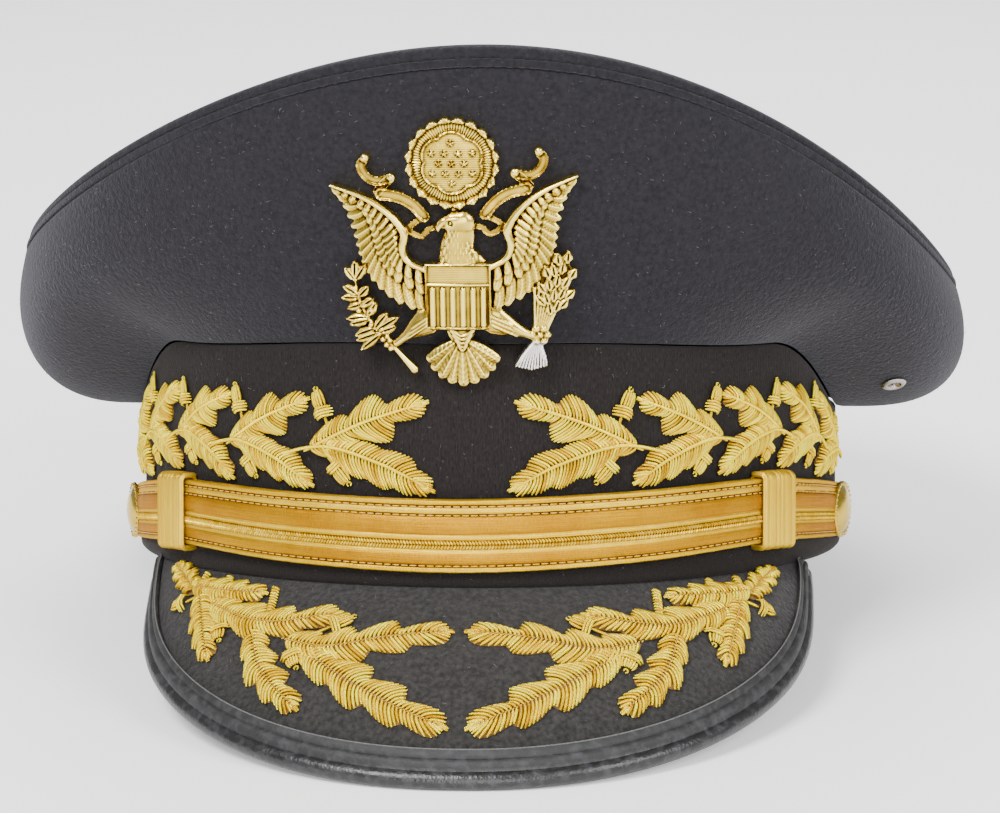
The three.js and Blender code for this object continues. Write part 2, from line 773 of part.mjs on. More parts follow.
// Section of the binding: inward from the visor's edge, and out of its upper face
const beadMiddle = -visorThickness / 2;
const bindingFace = bindingGap + bindingLeather;
const bindingSection = [
  [bindingWidth, -visorThickness - bindingGap],
  [slotDepth, -visorThickness - bindingGap],
  [slotDepth, bindingGap],
  [bindingWidth, bindingGap],
  [bindingWidth, bindingFace],
  [2 * beadRadius, bindingFace],
  ...beadCorners.map((degrees) => [
    beadRadius + beadRadius * Math.cos(degToRad(degrees)),
    beadMiddle + beadRadius * Math.sin(degToRad(degrees)),
  ]),
  [2 * beadRadius, -visorThickness - bindingFace],
  [bindingWidth, -visorThickness - bindingFace],
].map(([inward, out]) => new THREE.Vector2(inward, out));
const bindingGeometry = new THREE.ExtrudeGeometry(new THREE.Shape(bindingSection), {
  depth: 1,
  steps: visorSteps,
  bevelEnabled: false,
});
const visorBinding = moulded(bindingGeometry, (corner) => {
  const angle = visorAngle(2 * corner.z - 1);
  return visorPlace(angle, corner.x, corner.y);
});

// Gold wire leaves, acorns and buds, laid over each other in layers
function goldwork(sheet, row, layer, path, fullHalfWidth) {
  const halfWidths = outlines[row.outline].map((share) => share * row.width * fullHalfWidth);
  const low = seamGap + layer * goldLayer;
  return strip(sheet, path, halfWidths, low, low + goldHeight);
}

// Height on the band for a share of the spray's height, between the strap or its slide and the crown
function sprayHeight(angle, share) {
  const strapTop = strapHeight(angle) + strapHalfWidth(angle) + sprayStrapGap;
  const slideTurn = Math.abs(turnFromFront(angle) - slideAngle);
  const slideRise = (slideWall + seamGap) * (1 - smoothstep(slideTurn, slideClearTurn, 2 * slideClearTurn));
  return lerp(strapTop + slideRise, Math.min(sprayHigh, bandTop(angle) - sprayTopGap), share);
}

function bandSpray(sign) {
  const pieces = [];
  let start = sprayStart;
  for (const scale of bandUnitScales) {
    for (const [layer, row] of bandUnit.entries()) {
      const path = row.path.map(([along, share]) => {
        const angle = bandAngle(sprayShift + sign * (start + along * unitLength * scale));
        return [angle, sprayHeight(angle, share)];
      });
      pieces.push(goldwork(bandSheet, row, layer, path, leafHalfWidth * Math.sqrt(scale)));
    }
    start += unitLength * scale;
  }
  return joined(pieces);
}

function visorLeaves(sign) {
  return joined(
    visorSpray.map((row, number) => {
      const path = row.path.map(([arc, reach]) => [sign * arc * degToRad(visorArc), reach]);
      return goldwork(visorSheet, row, number % visorLayers, path, visorLeafHalfWidth);
    }),
  );
}

// Badge, built flat and then bent to the crown
const badgeScale = badgeHeight / 100;

function scaled(points, sign = 1) {
  return points.map(([x, y]) => [sign * x * badgeScale, y * badgeScale]);
}

function badgeStrip(path, outline, halfWidth, high, sign = 1) {
  const halfWidths = outlines[outline].map((share) => share * halfWidth * badgeScale);
  return strip(badgeSheet, scaled(path, sign), halfWidths, 0, high);
}

// Points round a circle that dips between its lobes
function lobed(centre, radius, lobes, dip, perLobe) {
  const count = lobes * perLobe;
  return Array.from({ length: count }, (_, number) => {
    const turn = (number / count) * 2 * Math.PI;
    const reach = radius * (number % perLobe === 0 ? dip : 1);
    return [centre[0] - reach * Math.sin(turn), centre[1] + reach * Math.cos(turn)];
  });
}

function badgeDisc() {
  const ringShape = new THREE.Shape(
    scaled(lobed(discCentre, discRadius, discBeads, beadDip, 2)).map(([x, y]) => new THREE.Vector2(x, y)),
  );
  const hole = scaled(lobed(discCentre, discInnerRadius, discBeads, 1, 1));
  ringShape.holes.push(new THREE.Path(hole.map(([x, y]) => new THREE.Vector2(x, y))));
  const beads = new THREE.ExtrudeGeometry(ringShape, { depth: reliefHigh, steps: 1, bevelEnabled: false });
  const field = lobed(discCentre, (discRadius + discInnerRadius) / 2, discBeads, 1, 1);
  return [
    tidied(beads),
    plate(scaled(field), 0, badgePlate),
    plate(scaled(lobed(discCentre, glowRadius, glowLobes, glowDip, 4)), 0, reliefLow),
  ];
}

// Pairs of points shared out evenly along two curves
function between(roots, tips, count) {
  const from = new THREE.SplineCurve(roots.map(([x, y]) => new THREE.Vector2(x, y)));
  const to = new THREE.SplineCurve(tips.map(([x, y]) => new THREE.Vector2(x, y)));
  return Array.from({ length: count }, (_, number) => {
    const share = (number + 0.5) / count;
    return [from.getPoint(share).toArray(), to.getPoint(share).toArray()];
  });
}

function wing(sign) {
  return [
    plate(scaled(wingOutline, sign), 0, badgePlate),
    ...between(wingRoots, wingTips, quills).map((path) =>
      badgeStrip(path, 'quill', quillHalfWidth, reliefLow, sign)),
    badgeStrip(wingBone, 'bone', wingBoneHalfWidth, reliefHigh, sign),
  ];
}

function shield() {
  const bars = Array.from({ length: barCount }, (_, number) => {
    const middle = shieldMiddle + (number - (barCount - 1) / 2) * barPitch;
    const [top, bottom] = barEnds;
    const [left, right] = [middle - barHalfWidth, middle + barHalfWidth];
    return plate(scaled([[left, bottom], [right, bottom], [right, top], [left, top]]), 0, reliefPeak);
  });
  return [plate(scaled(shieldOutline), 0, reliefHigh), plate(scaled(chiefOutline), 0, reliefPeak), ...bars];
}

function tail() {
  return Array.from({ length: tailFeathers }, (_, number) => {
    const swing = (2 * number) / (tailFeathers - 1) - 1;
    const turn = degToRad(swing * tailSpread);
    const length = lerp(tailLength, tailSideLength, Math.abs(swing));
    const tip = [tailCentre[0] + length * Math.sin(turn), tailCentre[1] - length * Math.cos(turn)];
    return badgeStrip([tailCentre, tip], 'plume', tailHalfWidth, number % 2 === 0 ? reliefHigh : reliefLow);
  });
}

function branch() {
  return [
    badgeStrip(stemPath, 'stem', stemHalfWidth, reliefLow),
    ...sprigs.map((path) => badgeStrip(path, 'sprig', sprigHalfWidth, reliefHigh)),
  ];
}

function arrows() {
  return [
    badgeStrip(sheafPath, 'sheaf', sheafHalfWidth, reliefLow),
    ...arrowTips.map((tip) => badgeStrip([arrowRoot, tip], 'sprig', arrowHalfWidth, reliefHigh)),
    plate(scaled(lobed(knotCentre, knotRadius, knotSides, 1, 1)), 0, reliefPeak),
    badgeStrip(tasselPath, 'tassel', tasselHalfWidth, reliefHigh),
  ];
}

const badgeParts = [
  ...shield(),
  ...badgeDisc(),
  plate(scaled(headOutline), 0, reliefHigh),
  ...tail(),
  ...branch(),
  ...arrows(),
  ...[-1, 1].flatMap((sign) => [
    ...wing(sign),
    ...ribbonPaths.map((path, number) =>
      badgeStrip(path, 'ribbon', ribbonHalfWidths[number], number === 2 ? reliefHigh : reliefLow, sign)),
    badgeStrip(thighPath, 'thigh', thighHalfWidth, reliefHigh, sign),
  ]),
];
const badgeGeometry = moulded(joined(badgeParts), (corner) => {
  const turn = corner.x / badgeBend;
  const radius = badgeBend + corner.z;
  return new THREE.Vector3(radius * Math.sin(turn), corner.y, radius * Math.cos(turn) - badgeBend);
});

// The badge leans from the band's face, under its tail, to the crown's front, behind its disc
function crownFrontAt(height) {
  let [low, high] = [0, 1];
  for (let step = 0; step < 30; step += 1) {
    const middle = (low + high) / 2;
    if (crownSheet.at(0, middle).z < height) {
      low = middle;
    } else {
      high = middle;
    }
  }
  return { share: low, point: crownSheet.at(0, low) };
}

const badgeFoot = new THREE.Vector3(0, -bandHalfLength - seamGap, badgeTailHeight);
const badgeHead = crownFrontAt(badgeDiscHeight).point;
badgeHead.y -= seamGap;
const badgeLean = Math.atan2(badgeFoot.y - badgeHead.y, badgeHead.z - badgeFoot.z);
const badgeUp = new THREE.Vector3(0, -Math.sin(badgeLean), Math.cos(badgeLean));
const badgeOut = new THREE.Vector3(0, -Math.cos(badgeLean), -Math.sin(badgeLean));

// Where the crown's front bulges past the line from foot to head, the badge stands off by that much
const badgeStandOff = crownShares.reduce((most, share) => {
  const bulge = crownSheet.at(0, share).sub(badgeHead);
  return bulge.dot(badgeUp) > 0 ? most : Math.max(most, bulge.dot(badgeOut) + seamGap);
}, 0);
const badgeOrigin = badgeFoot.clone().addScaledVector(badgeUp, badgeScale * badgeTailReach);
badgeOrigin.addScaledVector(badgeOut, badgeStandOff);

// Screw post behind the shield, with its nut inside the crown
const postFoot = badgeOrigin.clone().addScaledVector(badgeUp, badgePostPlace[1] * badgeScale);
postFoot.x = badgePostPlace[0] * badgeScale;
const postDepth = postFoot.clone().sub(crownFrontAt(postFoot.z).point).dot(badgeOut);
const nutFace = -postDepth - crownWall - badgeNutGap;
const postProfile = [
  [0, nutFace - badgeNutThickness],
  [badgeNutRadius, nutFace - badgeNutThickness],
  [badgeNutRadius, nutFace],
  [badgePostRadius, nutFace],
  [badgePostRadius, -seamGap],
  [0, -seamGap],
];
const badgeScrew = tidied(aimed(turned(postProfile, drillSides), postFoot, badgeOut));
const postDrill = drill(badgePostRadius + holeGap, postFoot, badgeOut);

const cap = new THREE.Group();
cap.add(
  piece('hat_band', 'velvet', cut(band, shankDrills)),
  piece('crown_side', 'wool', cut(crownSide, [...eyeletDrills, postDrill])),
  piece('crown_welt', 'wool', welt),
  piece('crown_top', 'wool', crownTop),
  piece('visor', 'wool', visor),
  piece('visor_binding', 'leather', visorBinding),
  piece('strap_inner', 'lace', cut(strapLayer(strapEnd(), innerLow, innerHigh), shankDrills)),
  piece('strap_outer', 'lace', strapLayer(outerEnd(), outerLow, outerHigh)),
  piece('badge_screw', 'brass', badgeScrew),
);

for (const side of sides) {
  cap.add(
    piece(`slide_${side.name}`, 'lace', slide(side.sign)),
    piece(`button_${side.name}`, 'brass', button(side.sign)),
    piece(`eyelet_${side.name}`, 'brass', eyelet(side)),
    piece(`band_leaves_${side.name}`, 'bullion', bandSpray(side.sign)),
    piece(`visor_leaves_${side.name}`, 'bullion', visorLeaves(side.sign)),
  );
}

const badge = piece('badge', 'brass', badgeGeometry);
badge.position.copy(badgeOrigin);
badge.rotation.x = Math.PI / 2 + badgeLean;
cap.add(badge);

// Lowest corner of a piece when the cap is tipped back by an angle
function lowestCorner(geometry, tilt) {
  const position = geometry.attributes.position;
  const corner = new THREE.Vector3();
  const lowest = new THREE.Vector3(0, 0, Infinity);
  let depth = Infinity;
  for (let vertex = 0; vertex < position.count; vertex += 1) {
    corner.fromBufferAttribute(position, vertex);
    const height = corner.z * Math.cos(tilt) + corner.y * Math.sin(tilt);
    if (height < depth) {
      depth = height;
      lowest.copy(corner);
    }
  }
  return lowest;
}

// The cap tips back until the visor's edge and the back of the band are level
function restingTilt() {
  let tilt = 0;
  for (let step = 0; step < 8; step += 1) {
    const front = lowestCorner(visorBinding, tilt);
    const back = lowestCorner(band, tilt);
    tilt = -Math.atan2(back.z - front.z, back.y - front.y);
  }
  return tilt;
}

cap.rotation.x = restingTilt();
const group = new THREE.Group();
group.name = 'peaked_dress_cap';
group.add(cap);

// The cap stands on the floor with its middle over the origin
group.updateMatrixWorld(true);
const box = new THREE.Box3().setFromObject(group, true);
const middle = box.getCenter(new THREE.Vector3());
cap.position.set(-middle.x, -middle.y, -box.min.z);

export default group;
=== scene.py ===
"""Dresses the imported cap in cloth, gold embroidery, lace, leather and stamped brass.

Sizes are in millimetres on the cap's own axes: the band's lower edge lies in the plane z = 0, the
front faces -Y, and angles run round the head from the front, positive towards +X. CapAxes carries
them to the row frame, in metres.
"""

import json
import logging
import math
import random
from collections.abc import Callable, Sequence
from dataclasses import dataclass, field
from enum import Enum

import bmesh
import bpy
import numpy as np
from mathutils import Matrix, Vector


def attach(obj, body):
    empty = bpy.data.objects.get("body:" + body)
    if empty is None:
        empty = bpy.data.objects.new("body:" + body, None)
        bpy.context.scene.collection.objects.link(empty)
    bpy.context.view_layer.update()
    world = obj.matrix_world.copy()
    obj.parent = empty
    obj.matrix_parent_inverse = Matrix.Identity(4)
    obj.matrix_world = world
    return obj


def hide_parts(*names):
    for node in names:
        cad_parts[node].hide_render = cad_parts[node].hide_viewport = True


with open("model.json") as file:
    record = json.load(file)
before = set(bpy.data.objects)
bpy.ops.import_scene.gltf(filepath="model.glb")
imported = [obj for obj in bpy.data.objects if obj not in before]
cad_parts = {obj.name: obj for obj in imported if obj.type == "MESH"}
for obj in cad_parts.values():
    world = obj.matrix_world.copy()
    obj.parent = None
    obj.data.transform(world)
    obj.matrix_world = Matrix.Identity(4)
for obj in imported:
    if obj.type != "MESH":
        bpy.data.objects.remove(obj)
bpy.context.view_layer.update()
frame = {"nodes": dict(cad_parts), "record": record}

log = logging.getLogger("cap")
UV_NAME = "cloth"
TONE_NAME = "tone"
TURN = 2 * math.pi
Place = Callable[[float, float], Vector]
Colour = tuple[float, float, float]
Line = Sequence[Sequence[float]]
View = tuple[slice, slice]
Mesh = bmesh.types.BMesh
Material = bpy.types.Material
Output = bpy.types.NodeSocket


class Side(Enum):
    """A side of the cap, seen from the front."""

    LEFT = -1
    RIGHT = 1

    @property
    def word(self) -> str:
        """Name of the side in the pieces' names."""
        return self.name.lower()


class Slot(Enum):
    """Material slots of the record."""

    WOOL = "wool"
    VELVET = "velvet"
    LEATHER = "leather"
    BULLION = "bullion"
    LACE = "lace"
    BRASS = "brass"


def lerp(start: float, end: float, share: float) -> float:
    """Value a share of the way from start to end."""
    return start + (end - start) * share


def smoothstep(value: float, low: float, high: float) -> float:
    """Smooth rise from 0 at low to 1 at high."""
    share = min(max((value - low) / (high - low), 0.0), 1.0)
    return share * share * (3 - 2 * share)


def half_round(value: float, centre: float, half_width: float) -> float:
    """Height of a half-round ridge of height 1 at a value."""
    away = (value - centre) / half_width
    return math.sqrt(1 - away * away) if abs(away) < 1 else 0.0


class Spline:
    """Smooth curve through points of a sheet."""

    def __init__(self, points: Line) -> None:
        """Keeps the points, which are pairs of sheet coordinates."""
        self.points = [Vector(point) for point in points]

    def at(self, share: float) -> Vector:
        """Finds a point of the curve.

        Args:
            share: Way along the curve, from 0 to 1.

        Returns:
            The pair of sheet coordinates there.
        """
        last = len(self.points) - 1
        reach = min(max(share, 0.0), 1.0) * last
        index = min(int(reach), last)
        w = reach - index
        before = self.points[max(index - 1, 0)]
        start = self.points[index]
        end = self.points[min(index + 1, last)]
        after = self.points[min(index + 2, last)]
        leave = (end - before) * 0.5
        arrive = (after - start) * 0.5
        cubic = (2 * start - 2 * end + leave + arrive) * w**3
        return cubic + (3 * end - 3 * start - 2 * leave - arrive) * w**2 + leave * w + start


class Sheet:
    """A curved surface with two coordinates and a direction that points out of it."""

    def __init__(self, at: Place, facing: float) -> None:
        """Keeps what gives a point for two coordinates, and 1 or -1 for the side that is out."""
        self.at = at
        self.facing = facing

    def normal(self, first: float, second: float) -> Vector:
        """Finds the outward direction.

        Args:
            first: First coordinate.
            second: Second coordinate.

        Returns:
            The unit vector out of the surface.
        """
        step = 0.001
        along = self.at(first + step, second) - self.at(first - step, second)
        across = self.at(first, second + step) - self.at(first, second - step)
        return along.cross(across).normalized() * self.facing

    def place(self, first: float, second: float, out: float) -> Vector:
        """Point at two coordinates and a distance out of the surface."""
        return self.at(first, second) + self.normal(first, second) * out


@dataclass(frozen=True)
class CapShape:
    """Main sizes of the cap, and the surfaces that they make.

    A lean is in degrees above level and a pull is how far a curve keeps it, each given as a pair:
    at the sides and back, and in front.
    """

    seam_gap: float = 0.3
    band_half_width: float = 87.2
    band_half_length: float = 104.0
    band_wall: float = 2.5
    band_front_height: float = 54.5
    band_back_height: float = 34.0
    crown_wall: float = 2.0
    rim_half_width: float = 115.5
    rim_front_reach: float = 121.0
    rim_back_reach: float = 127.0
    rim_side_height: float = 71.5
    rim_front_rise: float = 50.0
    rim_back_rise: float = 3.0
    rim_slump: float = 3.4
    foot_lean: tuple[float, float] = (-8, 72)
    foot_pull: tuple[float, float] = (29, 20)
    head_lean: tuple[float, float] = (110, 78)
    head_pull: tuple[float, float] = (20, 22)
    edge_turn: float = 2.9
    welt_height: float = 1.8
    top_sag: float = 2.0
    visor_arc: float = math.radians(64)
    visor_end_share: float = 0.97
    visor_half_width: float = 84.0
    visor_reach: float = 36.0
    visor_drop: float = 40.0
    visor_thickness: float = 2.0
    visor_bow: float = 2.5
    binding_width: float = 8.3
    binding_margin: float = 1.8
    bead_radius: float = 2.8
    strap_front_height: float = 11.4
    strap_line: tuple[tuple[float, float], ...] = (
        (-25, 1.08), (0, 1.0), (25, 1.08), (50, 1.17), (65, 0.99), (79, 0.77), (92, 0.6),
    )

    def plan_normal(self, angle: float) -> Vector:
        """Unit vector in plan that points out of the band at an angle."""
        across = math.sin(angle) / self.band_half_width
        return Vector((across, -math.cos(angle) / self.band_half_length, 0)).normalized()

    def upright(self, angle: float, degrees: float) -> Vector:
        """Direction in the upright plane at an angle, in degrees above level."""
        level = self.plan_normal(angle) * math.cos(math.radians(degrees))
        return level + Vector((0, 0, math.sin(math.radians(degrees))))

    def band_oval(self, angle: float, out: float, height: float) -> Vector:
        """Point of the band's wall at an angle, a distance out and a height."""
        x = (self.band_half_width + out) * math.sin(angle)
        return Vector((x, -(self.band_half_length + out) * math.cos(angle), height))

    def band_top(self, angle: float) -> float:
        """Height of the band's upper edge at an angle."""
        turn = abs(math.degrees(math.atan2(math.sin(angle), math.cos(angle))))
        shoulder = self.band_front_height - 2 * smoothstep(turn, 15, 50)
        return lerp(shoulder, self.band_back_height, smoothstep(turn, 54, 86))

    def band_angle(self, distance: float) -> float:
        """Angle at a distance along the band from the front."""
        steps = 40
        angle = 0.0
        for _ in range(steps):
            angle += distance / steps / self.band_speed(angle)
        return angle

    def band_speed(self, angle: float) -> float:
        """Millimetres along the band for one radian of angle."""
        return math.hypot(
            self.band_half_width * math.cos(angle), self.band_half_length * math.sin(angle)
        )

    def front(self, angle: float) -> float:
        """How far the crown has its front shape at an angle, from 0 to 1."""
        return max(math.cos(angle), 0.0) ** 1.3

    def rim_point(self, angle: float) -> Vector:
        """Crest of the crown's rim at an angle."""
        cosine = math.cos(angle)
        front = max(cosine, 0.0)
        back = max(-cosine, 0.0)
        reach = self.rim_front_reach if cosine > 0 else self.rim_back_reach
        slump = self.rim_slump * math.sin(angle) * (2.4 * front * front - 1)
        rise = self.rim_front_rise * front**1.7 + self.rim_back_rise * back * back
        x = self.rim_half_width * math.sin(angle)
        return Vector((x, -reach * cosine, self.rim_side_height + rise + slump))

    def rim_roll(self, angle: float, rise: float, out: float) -> Vector:
        """Point of the roll of cloth at the rim, rise above its crest and out from it."""
        arrive = lerp(*self.head_lean, self.front(angle))
        point = self.rim_point(angle) + self.upright(angle, arrive) * rise
        return point + self.upright(angle, arrive - 90) * out

    def crown_point(self, angle: float, share: float) -> Vector:
        """Point of the crown's side, from the band at share 0 to the welt at share 1."""
        front = self.front(angle)
        foot = self.band_oval(angle, 0, self.band_top(angle) + self.seam_gap)
        head = self.rim_roll(angle, -self.edge_turn - self.welt_height, 0)
        leave = self.upright(angle, lerp(*self.foot_lean, front)) * lerp(*self.foot_pull, front)
        arrive = self.upright(angle, lerp(*self.head_lean, front)) * lerp(*self.head_pull, front)
        rest = 1 - share
        return (
            foot * rest**3
            + (foot + leave) * (3 * rest * rest * share)
            + (head - arrive) * (3 * rest * share * share)
            + head * share**3
        )

    def visor_edge(self, angle: float) -> Vector:
        """Outer edge of the visor at an angle."""
        swing = angle / self.visor_arc * (math.pi / 2)
        side = math.sin(swing)
        front = max(math.cos(swing), 0.0)
        tuck = 1 - 0.055 * abs(side) ** 20
        x = 1 + self.visor_half_width * math.copysign(abs(side) ** 0.93, side) * tuck
        corner = self.band_half_length * math.cos(self.visor_arc)
        y = -lerp(corner, self.band_half_length + self.visor_reach, front)
        return Vector((x, y, -self.seam_gap - self.visor_drop * front**0.66))

    def visor_point(self, angle: float, share: float) -> Vector:
        """Point of the visor's upper face, from the band at share 0 to the edge at share 1."""
        point = self.band_oval(angle, 0, -self.seam_gap).lerp(self.visor_edge(angle), share)
        bow = 4 * share * (1 - share) * self.visor_bow
        lean = math.radians(50)
        return point + Vector((0, -bow * math.cos(lean), bow * math.sin(lean)))

    def strap_height(self, angle: float) -> float:
        """Height of the strap's centre line at an angle."""
        turn = abs(math.degrees(math.atan2(math.sin(angle), math.cos(angle))))
        rows = self.strap_line
        index = 1
        while index < len(rows) - 2 and turn > rows[index + 1][0]:
            index += 1
        before, start, end = rows[index - 1], rows[index], rows[index + 1]
        after = rows[index + 2] if index + 2 < len(rows) else rows[index + 1]
        span = end[0] - start[0]
        share = (turn - start[0]) / span
        leave = (end[1] - before[1]) / (end[0] - before[0]) * span
        arrive = (after[1] - start[1]) / max(after[0] - start[0], span) * span
        value = (
            (2 * share**3 - 3 * share**2 + 1) * start[1]
            + (share**3 - 2 * share**2 + share) * leave
            + (3 * share**2 - 2 * share**3) * end[1]
            + (share**3 - share**2) * arrive
        )
        return value * self.strap_front_height + 0.7 * math.sin(angle)

    def strap_half_width(self, angle: float) -> float:
        """Half of the strap's width at an angle."""
        return lerp(6.3, 8.35, max(math.cos(angle), 0.0))

    def band_sheet(self) -> Sheet:
        """The band's outer face, by angle and height."""
        return Sheet(lambda angle, height: self.band_oval(angle, 0, height), 1)

    def crown_sheet(self) -> Sheet:
        """The crown's outer face, by angle and share."""
        return Sheet(self.crown_point, 1)

    def visor_sheet(self) -> Sheet:
        """The visor's upper face, by angle and share."""
        return Sheet(self.visor_point, -1)


class CapAxes:
    """Carries the cap's own axes to the row frame, from the mount on the band's lower edge."""

    MOUNT = "rear_rim"
    MOUNT_BACK = 102.5

    def __init__(self, record: dict) -> None:
        """Reads the mount.

        Args:
            record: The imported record.
        """
        mount = next(entry for entry in record["mounts"] if entry["name"] == self.MOUNT)
        down = Vector(mount["axis"])
        turn = Matrix.Rotation(math.atan2(down.y, -down.z), 4, "X")
        seat = turn @ Vector((0, self.MOUNT_BACK * 0.001, 0))
        shift = Matrix.Translation(Vector(mount["pos_m"]) - seat)
        self.turn = turn.to_3x3()
        self.matrix = shift @ turn @ Matrix.Scale(0.001, 4)


class Recipe:
    """Builds the nodes of one material."""

    def __init__(self, name: str, **sockets: float | Colour) -> None:
        """Starts a material.

        Args:
            name: Name of the material.
            **sockets: Values for the shader's own sockets, with underscores for spaces.
        """
        self.material = bpy.data.materials.new(name)
        self.material.use_nodes = True
        self.tree = self.material.node_tree
        self.shader = self.tree.nodes["Principled BSDF"]
        for key, value in sockets.items():
            self.fill(self.shader, key.replace("_", " "), value)

    def fill(self, node: bpy.types.Node, key: str | int, value: object) -> None:
        """Sets or links one input.

        Args:
            node: The node.
            key: Name or number of its input.
            value: A number, a colour or another node's output.
        """
        socket = node.inputs[key]
        if isinstance(value, Output):
            self.tree.links.new(value, socket)
        elif isinstance(value, tuple) and len(value) == 3 and socket.type == "RGBA":
            socket.default_value = (*value, 1)
        else:
            socket.default_value = value

    def node(self, kind: str, inputs: dict, **settings: object) -> bpy.types.Node:
        """Adds a node.

        Args:
            kind: The node's type, without its prefix.
            inputs: Values or outputs by input name or number.
            **settings: The node's own properties.

        Returns:
            The node.
        """
        made = self.tree.nodes.new("ShaderNode" + kind)
        for key, value in settings.items():
            setattr(made, key, value)
        for key, value in inputs.items():
            self.fill(made, key, value)
        return made

    def place(self) -> Output:
        """Coordinates of the object, in metres."""
        return self.node("TexCoord", {}).outputs["Object"]

    def cloth(self, stretch: tuple[float, float] = (1.0, 1.0)) -> Output:
        """Coordinates that follow the surface, in millimetres, times factors along and across."""
        source = self.node("UVMap", {}, uv_map=UV_NAME).outputs[0]
        scale = Vector((*stretch, 1.0))
        return self.node("Mapping", {"Vector": source, "Scale": scale}).outputs[0]

    def noise(
        self, where: Output, scale: float, detail: float = 3.0
    ) -> Output:
        """Noise from 0 to 1, with a number of features per unit and of finer layers."""
        inputs = {"Vector": where, "Scale": scale, "Detail": detail}
        return self.node("TexNoise", inputs).outputs["Fac"]

    def ramp(
        self, value: Output, *stops: tuple[float, Colour]
    ) -> Output:
        """Colour for a value.

        Args:
            value: A value from 0 to 1.
            *stops: Places and colours, in order.

        Returns:
            The colour's socket.
        """
        made = self.node("ValToRGB", {"Fac": value})
        elements = made.color_ramp.elements
        while len(elements) < len(stops):
            elements.new(0.5)
        for element, (position, colour) in zip(elements, stops, strict=True):
            element.position = position
            element.color = (*colour, 1)
        return made.outputs["Color"]

    def mix(
        self, share: object, first: object, second: object, blend: str = "MIX"
    ) -> Output:
        """Mixes two colours.

        Args:
            share: Share of the second.
            first: First colour.
            second: Second colour.
            blend: Way of mixing.

        Returns:
            The colour's socket.
        """
        inputs = {0: share, 6: first, 7: second}
        return self.node("Mix", inputs, data_type="RGBA", blend_type=blend).outputs[2]

    def maths(self, operation: str, *values: object) -> Output:
        """Works out a number from numbers and outputs."""
        return self.node("Math", dict(enumerate(values)), operation=operation).outputs[0]

    def bump(
        self, height: Output, depth: float, under: object = None
    ) -> Output:
        """Small relief.

        Args:
            height: Height from 0 to 1.
            depth: Depth of the relief in metres.
            under: Relief that it lies on.

        Returns:
            The normal's socket.
        """
        inputs = {"Height": height, "Distance": depth, "Strength": 1.0}
        if under is not None:
            inputs["Normal"] = under
        return self.node("Bump", inputs).outputs[0]

    def tone(self) -> Output:
        """The tone that each corner of a mesh carries, from 0 to 1."""
        return self.node("Attribute", {}, attribute_name=TONE_NAME).outputs["Fac"]

    def done(self, **links: Output) -> Material:
        """Joins outputs to the shader's inputs, named with underscores for spaces."""
        for key, value in links.items():
            self.fill(self.shader, key.replace("_", " "), value)
        return self.material


@dataclass(frozen=True)
class Wool:
    """Milled wool with a short nap and pale lint."""

    name: str = "cap_wool"
    deep: Colour = (0.0052, 0.0048, 0.0060)
    pale: Colour = (0.0150, 0.0136, 0.0170)
    lint: Colour = (0.12, 0.115, 0.125)
    nap: Colour = (0.75, 0.74, 0.82)
    fuzz: float = 0.00035

    def make(self) -> Material:
        """Builds the material."""
        recipe = Recipe(
            self.name,
            Roughness=0.92,
            Sheen_Weight=0.14,
            Sheen_Roughness=0.45,
            Sheen_Tint=self.nap,
            Specular_IOR_Level=0.15,
        )
        where = recipe.place()
        felt = recipe.noise(where, 900, 6)
        cloud = recipe.noise(where, 35, 3)
        body = recipe.ramp(felt, (0.32, self.deep), (0.72, self.pale))
        body = recipe.mix(recipe.maths("MULTIPLY", cloud, 0.35), body, self.pale)
        fleck = recipe.noise(where, 1900, 2)
        fleck = recipe.ramp(fleck, (0.69, (0, 0, 0)), (0.78, (1, 1, 1)))
        body = recipe.mix(recipe.maths("MULTIPLY", fleck, 0.35), body, self.lint)
        relief = recipe.bump(felt, self.fuzz)
        relief = recipe.bump(recipe.noise(where, 2600, 2), self.fuzz * 0.5, relief)
        return recipe.done(Base_Color=body, Normal=relief)


@dataclass(frozen=True)
class Velvet:
    """Black velvet with a soft pile in fine upright rows."""

    name: str = "band_velvet"
    deep: Colour = (0.006, 0.005, 0.005)
    pale: Colour = (0.022, 0.019, 0.018)
    dust: Colour = (0.14, 0.13, 0.12)
    nap: Colour = (0.6, 0.57, 0.55)

    def make(self) -> Material:
        """Builds the material."""
        recipe = Recipe(
            self.name,
            Roughness=1.0,
            Sheen_Weight=0.12,
            Sheen_Roughness=0.3,
            Sheen_Tint=self.nap,
            Specular_IOR_Level=0.1,
        )
        where = recipe.place()
        pile = recipe.noise(recipe.cloth((2.6, 0.8)), 1.0, 4)
        rows = recipe.noise(recipe.cloth((5.0, 0.12)), 1.0, 2)
        value = recipe.maths("MULTIPLY_ADD", rows, 0.35, recipe.maths("MULTIPLY", pile, 0.65))
        body = recipe.ramp(value, (0.3, self.deep), (0.75, self.pale))
        speck = recipe.ramp(recipe.noise(where, 1500, 2), (0.71, (0, 0, 0)), (0.79, (1, 1, 1)))
        body = recipe.mix(recipe.maths("MULTIPLY", speck, 0.5), body, self.dust)
        relief = recipe.bump(value, 0.0003)
        return recipe.done(Base_Color=body, Normal=relief)


